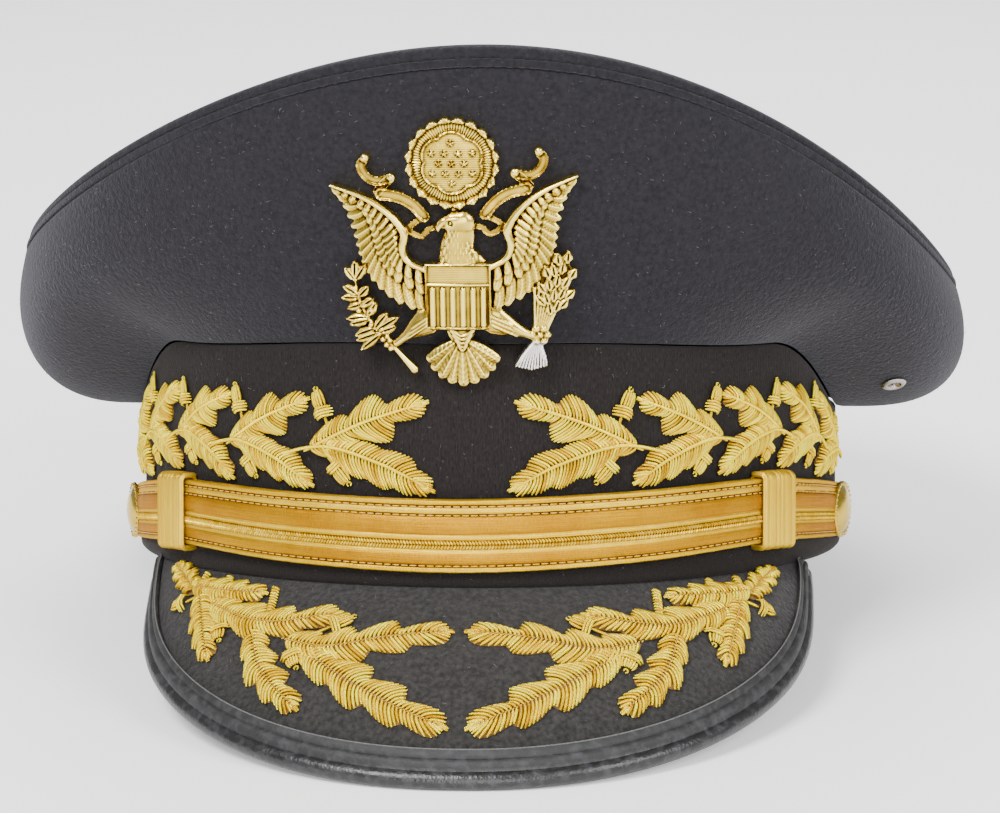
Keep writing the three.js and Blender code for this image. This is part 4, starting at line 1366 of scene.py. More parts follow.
@dataclass
class Strap:
    """The lace chin strap: two layers, their cords and stitches, slides and buttons."""

    shape: CapShape
    bench: Bench
    finishes: Finishes
    thickness: float = 1.0
    slide_back: float = 0.5
    slide_angle: float = math.radians(52.0)
    slide_length: float = 12.6
    slide_wall: float = 1.2
    slide_corner: float = 1.1
    slide_steps: int = 56
    slide_tone: float = 0.82
    strap_tail: float = 4.0
    strap_end: float = 8.5
    button_angle: float = math.radians(79)
    button_radius: float = 7.0
    button_swing: float = math.radians(8)
    button_tone: float = 0.55
    dome_lean: float = math.radians(62)
    dome_rise: float = 1.6
    bead_count: int = 28
    bead_size: float = 0.34
    cord_pitch: float = 0.72
    cord_size: float = 0.3
    stitch_pitch: float = 2.0
    stitch_size: float = 0.17
    rows: int = 66
    ridges: tuple[Ridge, ...] = (
        Ridge(0.035, 0.032, 0.22),
        Ridge(0.155, 0.036, 0.16),
        Ridge(0.36, 0.125, 0.5),
        Ridge(0.507, 0.016, 0.26),
        Ridge(0.54, 0.014, 0.22),
        Ridge(0.705, 0.014, 0.2),
        Ridge(0.805, 0.085, 0.42),
        Ridge(0.965, 0.032, 0.22),
    )
    cords: tuple[float, ...] = (0.59, 0.648)
    sewn: tuple[float, ...] = (0.095, 0.215, 0.905)
    bands: tuple[tuple[float, float], ...] = (
        (0.072, 0.72), (0.118, 0.08), (0.195, 0.8), (0.238, 0.08), (0.48, 0.4), (0.525, 0.85),
        (0.56, 0.7), (0.68, 0.15), (0.73, 0.8), (0.882, 0.42), (0.93, 0.08), (9.0, 0.72),
    )

    def build(self) -> None:
        """Builds every piece of the strap."""
        self.sheet = self.shape.band_sheet()
        gap = self.shape.seam_gap
        self.inner_low = gap + self.slide_back + gap
        self.outer_low = self.inner_low + self.thickness + gap
        self.outer_high = self.outer_low + self.thickness
        end = self.button_angle + self.strap_end / self.shape.band_speed(self.button_angle)
        tail = self.slide_length / 2 + self.strap_tail
        outer_end = self.slide_angle + tail / self.shape.band_speed(self.slide_angle)
        self.layer("lace_inner", "strap_inner", end, self.inner_low, 320)
        self.layer("lace_outer", "strap_outer", outer_end, self.outer_low, 300)
        for side in Side:
            self.slide(side)
            self.button(side)

    def relief(self, across: float) -> float:
        """Height of the woven relief at a share across the lace, from its top edge."""
        return max(
            ridge.height * half_round(across, ridge.middle, ridge.half_width)
            for ridge in self.ridges
        )

    def on_lace(self, angle: float, across: float, out: float) -> Vector:
        """Point of the lace at an angle, a share down from its top edge and a distance out."""
        height = self.shape.strap_height(angle)
        height += (1 - 2 * across) * self.shape.strap_half_width(angle)
        return self.sheet.place(angle, height, out)

    def layer(self, name: str, node: str, end: float, low: float, steps: int) -> None:
        """Builds one layer of the strap with its cords and stitches.

        Args:
            name: Name of the piece.
            node: CAD node that it stands for.
            end: Angle at which it ends on both sides.
            low: Distance of its back from the band.
            steps: Faces along it.
        """
        count = self.rows
        face = low + self.thickness - 0.22
        rows = [(share / count, face + self.relief(share / count)) for share in range(count + 1)]
        rows[0] = (0.0, face - 0.2)
        rows[-1] = (1.0, face - 0.2)
        rows += [(1.0, low + 0.15), (0.97, low), (0.5, low), (0.03, low), (0.0, low + 0.15)]

        def at(share: float, across: float) -> Vector:
            """Point for a share along the lace and one round its section."""
            row = rows[round(across * len(rows)) % len(rows)]
            angle = lerp(-end, end, share)
            wave = 0.06 * math.sin(90 * angle) * math.sin(17 * angle)
            return self.on_lace(angle, row[0] + wave * 0.02, row[1] + wave)

        length = 2 * end * self.shape.band_speed(end / 2)
        ribbon = self.bench.moulded_grid((steps, len(rows)), at, (length, 34.0))
        self.bench.capped(ribbon)
        self.tint(ribbon, face)
        made = self.bench.blank()
        self.bench.join(made, ribbon)
        self.twists(made, end, face, length)
        self.sew(made, end, face, length)
        materials = [self.finishes.lace, self.finishes.gold_thread]
        self.bench.piece(name, made, materials, Slot.LACE, [node])

    def tint(self, ribbon: Mesh, face: float) -> None:
        """Gives the ribbon's corners the tones of its woven bands.

        Args:
            ribbon: The layer's ribbon.
            face: Distance of its face from the band; not used.
        """
        shape = self.shape
        tones = ribbon.verts.layers.float[TONE_NAME]
        for vert in ribbon.verts:
            side, front = vert.co.x / shape.band_half_width, -vert.co.y / shape.band_half_length
            angle = math.atan2(side, front)
            down = shape.strap_height(angle) + shape.strap_half_width(angle) - vert.co.z
            across = down / (2 * shape.strap_half_width(angle))
            vert[tones] = next(tone for limit, tone in self.bands if across < limit)

    def twists(self, made: Mesh, end: float, face: float, length: float) -> None:
        """Lays the twisted cords as rows of slanted turns.

        Args:
            made: The layer's mesh.
            end: Angle at which the layer ends.
            face: Distance of its face from the band.
            length: Its length.
        """
        wire = Wire(4, 5)
        count = int(length / self.cord_pitch)
        draw = random.Random(3)
        for row, across in enumerate(self.cords):
            lean = 0.75 if row % 2 == 0 else -0.75
            for number in range(count):
                middle = lerp(-end, end, (number + 0.5) / count)
                step = end * 2 / length
                path = []
                for share in (-1, -0.4, 0.4, 1):
                    a = middle + lean * 0.42 * share * step
                    lift = 0.12 + 0.3 * (1 - share * share)
                    path.append(self.on_lace(a, across + 0.026 * share, face + lift))
                up = self.shape.plan_normal(middle)
                wire.lay(made, path, [up] * 4, self.cord_size, draw.uniform(0.65, 0.95))

    def sew(self, made: Mesh, end: float, face: float, length: float) -> None:
        """Sews the rows of stitches along the lace.

        Args:
            made: The layer's mesh.
            end: Angle at which the layer ends.
            face: Distance of its face from the band.
            length: Its length.
        """
        wire = Wire(4, 5)
        count = int(length / self.stitch_pitch)
        for across in self.sewn:
            for number in range(count):
                middle = lerp(-end, end, (number + 0.5) / count)
                step = end * 2 / length
                path = []
                for share in (-1, -0.5, 0.5, 1):
                    lift = 0.02 if abs(share) == 1 else 0.16
                    path.append(self.on_lace(middle + 0.78 * share * step, across, face + lift))
                up = self.shape.plan_normal(middle)
                wire.lay(made, path, [up] * 4, self.stitch_size, slot=1)

    def slide(self, side: Side) -> None:
        """Builds the woven loop round both layers.

        Args:
            side: Side of the cap.
        """
        shape = self.shape
        centre = side.value * self.slide_angle
        half = shape.strap_half_width(centre) + shape.seam_gap + self.slide_wall / 2
        back = self.inner_low / 2
        front = self.outer_high + shape.seam_gap + self.slide_wall / 2
        around = self.slide_steps
        thick = self.slide_wall / 2
        reach = self.slide_length / 2
        outside = [(share / 30 * 2 - 1) * (reach - 0.35) for share in range(31)]
        rows = [(place, thick * 0.8 + self.rib(place / reach)) for place in outside]
        rows += [(reach, 0.0), (reach - 0.35, -thick * 0.8), (0, -thick * 0.8)]
        rows += [(0.35 - reach, -thick * 0.8), (-reach, 0.0)]
        loop = self.loop_line(half, back, front, self.slide_corner, around)

        def at(share: float, across: float) -> Vector:
            """Point for a share round the loop and one round its wall."""
            along, wall = rows[round(across * len(rows)) % len(rows)]
            middle, outward = loop[round(share * around) % around]
            seat = middle + outward * (wall if middle.y > back + 0.3 else min(wall, 0.15))
            angle = centre + along / shape.band_speed(centre)
            return self.sheet.place(angle, shape.strap_height(angle) + seat.x, seat.y)

        made = self.bench.moulded_grid((around, len(rows)), at, (46.0, 30.0))
        self.bench.paint(made, self.slide_tone)
        name = f"slide_loop_{side.word}"
        lace = [self.finishes.slide_lace]
        self.bench.piece(name, made, lace, Slot.LACE, [f"slide_{side.word}"])

    @staticmethod
    def rib(place: float) -> float:
        """Height of the slide's woven ribs at a share of its half length."""
        ridges = ((-0.88, 0.11), (-0.5, 0.22), (-0.12, 0.1), (0.12, 0.1), (0.5, 0.22), (0.88, 0.11))
        return 0.42 * max(half_round(place, middle, width) for middle, width in ridges)

    @staticmethod
    def loop_line(half: float, back: float, front: float, corner: float, count: int) -> list:
        """Middle line of the slide's wall, as a rounded rectangle.

        Args:
            half: Half of its height.
            back: Distance of its back from the band.
            front: Distance of its front from the band.
            corner: Radius of its corners.
            count: Number of points.

        Returns:
            Pairs of a point and its outward direction, as height and distance out.
        """
        corner = min(corner, (front - back) / 2)
        centres = [(half - corner, front - corner), (half - corner, back + corner)]
        centres += [(corner - half, back + corner), (corner - half, front - corner)]
        line = []
        per = count // 4
        for number, (x, y) in enumerate(centres):
            for step in range(per):
                share = min(max((step - 3) / (per - 7), 0.0), 1.0) if per > 7 else step / per
                turn = math.radians(90 - 90 * number - 90 * share)
                outward = Vector((math.cos(turn), math.sin(turn)))
                line.append((Vector((x, y)) + outward * corner, outward))
        return line

    def button(self, side: Side) -> None:
        """Builds a domed button with its shank and inner washer.

        Args:
            side: Side of the cap.
        """
        shape = self.shape
        angle = side.value * self.button_angle
        height = shape.strap_height(angle)
        normal = self.sheet.normal(angle, height)
        turn = normal.to_track_quat("Z", "Y").to_matrix().to_4x4()
        swing = Matrix.Rotation(side.value * -self.button_swing, 4, "Z")
        matrix = Matrix.Translation(self.sheet.at(angle, height)) @ swing @ turn
        back = self.inner_low + self.thickness + shape.seam_gap
        washer = -shape.band_wall - shape.seam_gap
        radius = self.button_radius
        profile = [(0, washer - 1), (4, washer - 1), (4, washer), (1.5, washer), (1.5, back)]
        profile += [(radius - 0.3, back), (radius, back + 0.25), (radius, back + 0.65)]
        profile += [(radius - 0.25, back + 0.9), (radius - 0.75, back + 0.95)]
        profile += [(radius - 1.1, back + 0.75)]
        reach = (radius - 1.2) / math.sin(self.dome_lean)
        drop = self.dome_rise / (1 - math.cos(self.dome_lean))
        for step in range(9):
            lean = lerp(self.dome_lean, 0, step / 8)
            profile.append((reach * math.sin(lean), back + 2.4 - drop * (1 - math.cos(lean))))
        made = self.turned(profile, 40)
        star = self.star(radius * 0.5, back + 2.0, 0.75)
        bead = bmesh.new()
        ring = radius - 0.5
        for number in range(self.bead_count):
            spin = number / self.bead_count * TURN
            place = Vector((math.cos(spin) * ring, math.sin(spin) * ring, back + 0.9))
            seat = Matrix.Translation(place)
            bmesh.ops.create_icosphere(bead, subdivisions=1, radius=self.bead_size, matrix=seat)
        for extra in (star, bead):
            self.bench.join(made, extra)
        self.bench.paint(made, self.button_tone)
        bmesh.ops.transform(made, matrix=matrix, verts=made.verts)
        name = f"dress_button_{side.word}"
        self.bench.piece(name, made, [self.finishes.brass], Slot.BRASS, [f"button_{side.word}"])

    @staticmethod
    def turned(profile: Sequence[tuple[float, float]], sides: int) -> Mesh:
        """Spins a profile round the Z axis.

        Args:
            profile: Pairs of radius and height.
            sides: Number of steps.

        Returns:
            The turned mesh.
        """
        made = Bench.blank()
        verts = [made.verts.new((radius, 0, height)) for radius, height in profile]
        edges = [made.edges.new(pair) for pair in zip(verts, verts[1:])]
        bmesh.ops.spin(
            made,
            geom=[*verts, *edges],
            cent=(0, 0, 0),
            axis=(0, 0, 1),
            angle=TURN,
            steps=sides,
            use_merge=True,
        )
        bmesh.ops.remove_doubles(made, verts=made.verts, dist=1e-4)
        return made

    @staticmethod
    def star(radius: float, level: float, rise: float) -> Mesh:
        """Makes a raised five-pointed star.

        Args:
            radius: Reach of its points.
            level: Height of its edge.
            rise: Height of its middle above its edge.

        Returns:
            The star's mesh.
        """
        made = bmesh.new()
        disc = bmesh.ops.create_circle(
            made, cap_ends=True, cap_tris=True, segments=10, radius=radius
        )
        for vert in disc["verts"]:
            far = vert.co.length > radius * 0.5
            turn = round(math.degrees(math.atan2(vert.co.y, vert.co.x)) / 36)
            if far and turn % 2:
                vert.co *= 0.42
            vert.co.z = level - 0.25 if far else level + rise * 0.6
        base = bmesh.ops.extrude_face_region(made, geom=made.faces[:])
        lower = [part for part in base["geom"] if isinstance(part, bmesh.types.BMVert)]
        bmesh.ops.translate(made, vec=(0, 0, -0.6), verts=lower)
        return made


@dataclass(frozen=True)
class LeafPlan:
    """How the wires of one leaf are laid: the crests of the lobes on both sides of its rib."""

    upper: tuple[tuple[float, float], ...]
    lower: tuple[tuple[float, float], ...]
    bare: float = 0.05
    body: float = 0.4
    front: float = 0.09
    rear: float = 0.26
    slant: float = 56.0
    ribbed: bool = True
    height: float = 1.5

    def reach(self, share: float, crests: tuple[tuple[float, float], ...]) -> float:
        """Distance of the outline from the rib, as a share of the leaf's half width.

        Args:
            share: Place along the rib, from base to tip.
            crests: Place and height of each lobe's crest.

        Returns:
            The distance.
        """
        best = self.body * math.sin(math.pi * (0.1 + 0.82 * share)) if share > self.bare else 0.0
        for number, (middle, height) in enumerate(crests):
            front = 1 - middle + 0.015 if number == len(crests) - 1 else self.front
            rear = middle - self.bare + 0.03 if number == 0 else self.rear
            away = (share - middle) / (front if share > middle else rear)
            if abs(away) < 1:
                best = max(best, height * (1 - away * away) ** (0.5 if share > middle else 0.75))
        return best


@dataclass(frozen=True)
class Leaf:
    """One leaf: its rib, the plan of its wires, its half width and where it lies.

    The hand is 1 or -1, the side of the rib with the upper lobes.
    """

    track: Track
    plan: LeafPlan
    width: float
    hand: float
    lift: float


@dataclass
class Embroidery:
    """Gold wire leaves, acorns and buds on the band and the visor."""

    shape: CapShape
    bench: Bench
    finishes: Finishes
    wire_radius: float = 0.34
    spray_start: float = 10.8
    unit_length: float = 29.2
    spray_shift: float = 2.2
    spray_high: float = 45.0
    leaf_half_width: float = 6.4
    visor_half_width: float = 6.0
    visor_wire: float = 0.4
    unit_scales: tuple[float, ...] = (1, 0.84, 0.78, 0.75, 0.73)
    draw: random.Random = field(default_factory=lambda: random.Random(11))

    def build(self) -> None:
        """Builds the four sprays."""
        self.purl = Wire(6, 6)
        self.cord = Wire(26, 7)
        self.fine = Wire(4, 5)
        for side in Side:
            self.band_spray(side)
            self.visor_spray(side)

    def spray_height(self, angle: float, share: float) -> float:
        """Height on the band for a share of the spray's height."""
        strap = self.shape.strap_height(angle) + self.shape.strap_half_width(angle) + 1.6
        turn = abs(math.degrees(angle)) - 52.8
        rise = 1.5 * (1 - smoothstep(abs(turn), 7, 14))
        top = min(self.spray_high, self.shape.band_top(angle) - 2.5)
        return lerp(strap + rise, top, share)

    def band_spray(self, side: Side) -> None:
        """Builds the spray on one side of the band.

        Args:
            side: Side of the cap.
        """
        sheet = self.shape.band_sheet()
        made = self.bench.blank()
        start = self.spray_start
        leaf = LeafPlan(
            upper=((0.36, 0.95), (0.66, 1.0), (0.92, 0.46)),
            lower=((0.36, 0.62), (0.64, 0.86), (0.9, 0.48)),
            bare=0.06,
        )
        lower = LeafPlan(
            upper=((0.56, 0.86), (0.73, 0.88), (0.87, 0.66), (0.96, 0.4)),
            lower=((0.6, 0.55), (0.8, 0.66), (0.94, 0.42)),
            bare=0.3,
        )
        for scale in self.unit_scales:
            width = self.leaf_half_width * math.sqrt(scale)

            def points(path: Line) -> list[tuple[float, float]]:
                """Places on the band for shares of this unit's length and height."""
                places = []
                for along, share in path:
                    reach = start + along * self.unit_length * scale
                    angle = self.shape.band_angle(self.spray_shift + side.value * reach)
                    places.append((angle, self.spray_height(angle, share)))
                return places

            upper = Track(sheet, points([[1.0, 0.34], [0.5, 0.64], [0, 0.85]]))
            self.leaf(made, Leaf(upper, leaf, width, side.value, 0.1))
            arch = Track(sheet, points([[1.22, 0.3], [0.79, 0.4], [0.3, 0.24], [-0.05, 0.02]]))
            self.leaf(made, Leaf(arch, lower, width, side.value, 0.35))
            high = Track(sheet, points([[0.8, 0.6], [0.92, 1.0]]))
            self.acorn(made, high, width * 0.33, 0.2, 0.22)
            low = Track(sheet, points([[0.8, 0.3], [0.59, 0.01]]))
            self.acorn(made, low, width * 0.33, 0.3, 0.25)
            start += self.unit_length * scale
        self.finish(f"band_spray_{side.word}", f"band_leaves_{side.word}", made)

    def visor_spray(self, side: Side) -> None:
        """Builds the spray on one side of the visor.

        Args:
            side: Side of the cap.
        """
        sheet = self.shape.visor_sheet()
        made = self.bench.blank()
        plan = LeafPlan(
            upper=((0.22, 0.8), (0.45, 1.0), (0.69, 0.92), (0.93, 0.62)),
            lower=((0.26, 0.78), (0.5, 1.0), (0.74, 0.88), (0.93, 0.62)),
            body=0.5,
            front=0.05,
            rear=0.25,
            ribbed=False,
        )
        leaves = (
            (0.9, [[0.38, 0.4], [0.27, 0.4], [0.15, 0.32], [0.02, 0.27]], 0.05),
            (1.0, [[0.33, 0.43], [0.17, 0.59], [0.02, 0.74]], 0.0),
            (0.9, [[0.62, 0.31], [0.44, 0.33], [0.268, 0.205]], 0.25),
            (0.85, [[0.46, 0.38], [0.4, 0.58], [0.295, 0.73]], 0.15),
            (0.75, [[0.7, 0.24], [0.475, 0.145]], 0.4),
            (0.75, [[0.66, 0.28], [0.54, 0.64]], 0.3),
            (0.6, [[0.68, 0.28], [0.83, 0.1]], 0.45),
        )
        for width, path, lift in leaves:
            track = Track(sheet, self.on_visor(side, path))
            half = self.visor_half_width * width
            self.leaf(made, Leaf(track, plan, half, -side.value, lift))
        acorns = (
            (0.4, [[0.31, 0.34], [0.22, 0.2]]),
            (0.4, [[0.36, 0.4], [0.315, 0.55]]),
            (0.36, [[0.56, 0.38], [0.53, 0.53]]),
            (0.36, [[0.67, 0.3], [0.74, 0.52]]),
        )
        for width, path in acorns:
            track = Track(sheet, self.on_visor(side, path))
            self.acorn(made, track, self.visor_half_width * width, 0.2, 0.42)
        buds = (
            [[0.43, 0.31], [0.455, 0.08]],
            [[0.58, 0.24], [0.61, 0.05]],
            [[0.68, 0.26], [0.69, 0.06]],
        )
        for path in buds:
            self.bud(made, Track(sheet, self.on_visor(side, path)), 0.95, 0.1)
        self.finish(f"visor_spray_{side.word}", f"visor_leaves_{side.word}", made)

    def on_visor(self, side: Side, path: Line) -> list[tuple[float, float]]:
        """Turns shares of the visor's arc and reach into sheet coordinates."""
        return [(side.value * arc * self.shape.visor_arc, reach) for arc, reach in path]

    def finish(self, name: str, node: str, made: Mesh) -> None:
        """Hands over a finished spray."""
        materials = [self.finishes.bullion, self.finishes.ground, self.finishes.gold_thread]
        self.bench.piece(name, made, materials, Slot.BULLION, [node], crease=70)

    def leaf(self, made: Mesh, leaf: Leaf) -> None:
        """Lays one leaf.

        Args:
            made: The mesh that it joins.
            leaf: The leaf.
        """
        track, plan, hand = leaf.track, leaf.plan, leaf.hand
        slant = math.radians(plan.slant)
        thick = self.wire_radius if plan.ribbed else self.visor_wire
        pitch = 2 * thick / math.sin(slant)
        count = max(int(track.length / pitch), 4)
        for crests, side in ((plan.upper, hand), (plan.lower, -hand)):
            for step in range(count):
                share = (step + 0.5 + self.draw.uniform(-0.1, 0.1)) / count
                if share < plan.bare:
                    continue
                lean = lerp(slant, math.radians(8), smoothstep(share, 0.74, 1.0) ** 1.4)
                reach = 0.3
                for _ in range(5):
                    ahead = share + reach / math.tan(lean) / track.length
                    goal = leaf.width * plan.reach(min(ahead, 0.995), crests)
                    if ahead > 1:
                        goal = min(goal, (1 - share) * track.length * math.tan(lean))
                    reach = (reach + goal) / 2
                reach = max(reach, 0.25)
                self.purl_wire(made, leaf, share * track.length, side, reach, lean)
        self.padding(made, leaf)
        self.rib(made, leaf)

    def purl_wire(
        self,
        made: Mesh,
        leaf: Leaf,
        distance: float,
        side: float,
        reach: float,
        lean: float,
    ) -> None:
        """Lays one wire from the rib to the leaf's edge.

        Args:
            made: The mesh that it joins.
            leaf: The leaf.
            distance: Where the wire leaves the rib.
            side: 1 or -1, side of the rib.
            reach: How far from the rib it ends.
            lean: Mean angle between rib and wire.
        """
        path = []
        ups = []
        plan = leaf.plan
        crest = plan.height * (0.7 if plan.ribbed else 0.4)
        swell = min(1.0, 0.35 + reach / 4.0)
        for step in range(6):
            share = step / 5
            forward = reach / math.tan(lean) * share**1.3
            lateral = 0.15 + (reach - 0.15) * share**0.92
            point, _, across, normal = leaf.track.frame(distance + forward)
            arch = math.sin(math.pi * (0.1 + 0.84 * share)) * plan.height * 0.62 * swell
            rise = leaf.lift + crest * (1 - share) ** 1.5 * swell + arch + 0.22
            path.append(point + across * (side * lateral) + normal * rise)
            ups.append(normal)
        thick = self.wire_radius if plan.ribbed else self.visor_wire
        radius = thick * self.draw.uniform(0.96, 1.06)
        self.purl.lay(made, path, ups, radius, self.draw.uniform(0.1, 1.0))

    def padding(self, made: Mesh, leaf: Leaf) -> None:
        """Fills a leaf below its wires with a dark pad that paints the shade in the gaps between
        them.

        Args:
            made: The mesh that it joins.
            leaf: The leaf.
        """
        track, plan = leaf.track, leaf.plan

        def at(share: float, across: float) -> Vector:
            """Point of the pad for a share along the leaf and one across it."""
            inside = lerp(0.02, 0.985, share)
            point, _, side, normal = track.frame(inside * track.length)
            way = 2 * across - 1
            crests = plan.upper if way * leaf.hand > 0 else plan.lower
            reach = leaf.width * plan.reach(inside, crests)
            rise = leaf.lift + 0.05 + plan.height * 0.55 * (1 - way * way) * min(1, reach / 3)
            return point + side * (way * reach * 0.93) + normal * rise

        pad = self.bench.moulded_grid((36, 8), at, (track.length, 2 * leaf.width))
        # Slot 1 is the dark padding: painted shade between the wires.
        self.bench.join(made, pad, 1)

    def rib(self, made: Mesh, leaf: Leaf) -> None:
        """Lays the rib: a cord on the band's leaves, a sewn groove on the visor's.

        Args:
            made: The mesh that it joins.
            leaf: The leaf.
        """
        track, plan, lift = leaf.track, leaf.plan, leaf.lift
        if plan.ribbed:
            path = []
            ups = []
            for step in range(self.cord.rings):
                share = step / (self.cord.rings - 1)
                point, _, _, normal = track.frame(lerp(0.0, 0.975, share) * track.length)
                swell = math.sin(math.pi * min(share + 0.1, 1)) ** 0.5
                rise = lift + plan.height * lerp(0.72, 1.12, swell)
                path.append(point + normal * rise)
                ups.append(normal)
            self.cord.lay(made, path, ups, self.wire_radius * 1.25, 0.7)
            return
        count = int(track.length / 0.95)
        for number in range(1, count):
            middle = number * track.length / count
            path = []
            for share in (-1, -0.4, 0.4, 1):
                point, _, across, normal = track.frame(middle + 0.3 * share)
                rise = lift + plan.height * 0.72 + 0.16 - 0.1 * share * share
                path.append(point + across * (0.22 * share) + normal * rise)
            self.fine.lay(made, path, [normal] * 4, 0.17, 0.1, 2)

    def acorn(
        self, made: Mesh, track: Track, width: float, lift: float, stem: float
    ) -> None:
        """Lays an acorn: a stem, a wrapped cup, a nut of long wires and a looped tip.

        Args:
            made: The mesh that it joins.
            track: Its axis, from stem to tip.
            width: Its half width.
            lift: Height of its lowest layer.
            stem: Share of its length that is stem.
        """
        length = track.length
        base = length * stem
        path = []
        ups = []
        for step in range(6):
            point, _, _, normal = track.frame(base * step / 5)
            path.append(point + normal * (lift + 0.4))
            ups.append(normal)
        self.purl.lay(made, path, ups, self.wire_radius * 1.2, 0.4)
        pitch = 2 * self.wire_radius
        wraps = max(round((length - base) * 0.34 / pitch), 2)
        for number in range(wraps):
            middle = base + (number + 0.3) * pitch
            swell = 0.75 + 0.5 * math.sin(math.pi * (number + 1) / (wraps + 1))
            path = []
            ups = []
            for step in range(6):
                way = step / 5 * 2 - 1
                point, _, across, normal = track.frame(middle - 0.35 * way * way)
                rise = lift + 0.25 + width * 0.62 * swell * math.sqrt(max(1 - way * way, 0))
                path.append(point + across * (way * width * swell) + normal * rise)
                ups.append(normal)
            self.purl.lay(made, path, ups, self.wire_radius, self.draw.uniform(0.3, 0.9))
        nut_start = base + wraps * pitch
        nut_end = length * 0.84
        strands = max(round(width * 1.7 / pitch), 3)
        for number in range(strands):
            way = (number + 0.5) / strands * 2 - 1
            path = []
            ups = []
            for step in range(6):
                share = step / 5
                point, _, across, normal = track.frame(lerp(nut_start - 0.3, nut_end, share))
                swell = math.sin(math.pi * (0.36 + 0.42 * share)) ** 0.8
                rise = lift + 0.25 + width * 0.55 * swell * math.sqrt(max(1 - way * way, 0))
                path.append(point + across * (way * width * 0.85 * swell) + normal * rise)
                ups.append(normal)
            self.purl.lay(made, path, ups, self.wire_radius, self.draw.uniform(0.3, 0.9))
        path = []
        ups = []
        centre, along, across, normal = track.frame(length * 0.9)
        for step in range(6):
            turn = step / 5 * TURN * 0.85
            spot = centre + along * (0.55 * math.cos(turn)) + across * (0.55 * math.sin(turn))
            path.append(spot + normal * (lift + 0.45))
            ups.append(normal)
        self.purl.lay(made, path, ups, self.wire_radius * 0.8, 0.7)

    def bud(self, made: Mesh, track: Track, width: float, lift: float) -> None:
        """Lays a slim bud of stacked slanted wires.

        Args:
            made: The mesh that it joins.
            track: Its axis.
            width: Its half width.
            lift: Height of its lowest layer.
        """
        thick = self.visor_wire
        pitch = 2 * thick * 1.1
        for number in range(int(track.length / pitch)):
            path = []
            ups = []
            for step in range(6):
                way = step / 5 * 2 - 1
                point, _, across, normal = track.frame((number + 0.5) * pitch + 0.45 * way)
                rise = lift + 0.2 + 0.75 * math.sqrt(max(1 - way * way, 0))
                path.append(point + across * (way * width) + normal * rise)
                ups.append(normal)
            self.purl.lay(made, path, ups, thick, self.draw.uniform(0.2, 0.9))


class Section(Enum):
    """How a ridge of the badge is rounded across its width."""

    ROUND = "round"
    RIMMED = "rimmed"
    FEATHER = "feather"
    LEAF = "leaf"

    def rise(self, across: np.ndarray, along: np.ndarray) -> np.ndarray:
        """Share of the full height.

        Args:
            across: Distance from the ridge's line, as a share of its half width.
            along: Share of the way along the line.

        Returns:
            The shares.
        """
        arch = np.sqrt(np.clip(1 - across * across, 0, 1))
        if self is Section.RIMMED:
            rim = np.exp(-(((across - 0.8) / 0.14) ** 2))
            return 0.3 + 0.7 * rim + 0.12 * np.sin(along * 9.0)
        if self is Section.FEATHER:
            barbs = 0.03 * np.sin(along * 46 + across * 5.5)
            quill = 0.16 * np.exp(-((across / 0.16) ** 2))
            return arch**0.8 * (0.78 + 0.12 * along + barbs) + quill
        if self is Section.LEAF:
            return arch * (1 - 0.45 * np.exp(-((across / 0.16) ** 2)))
        return arch


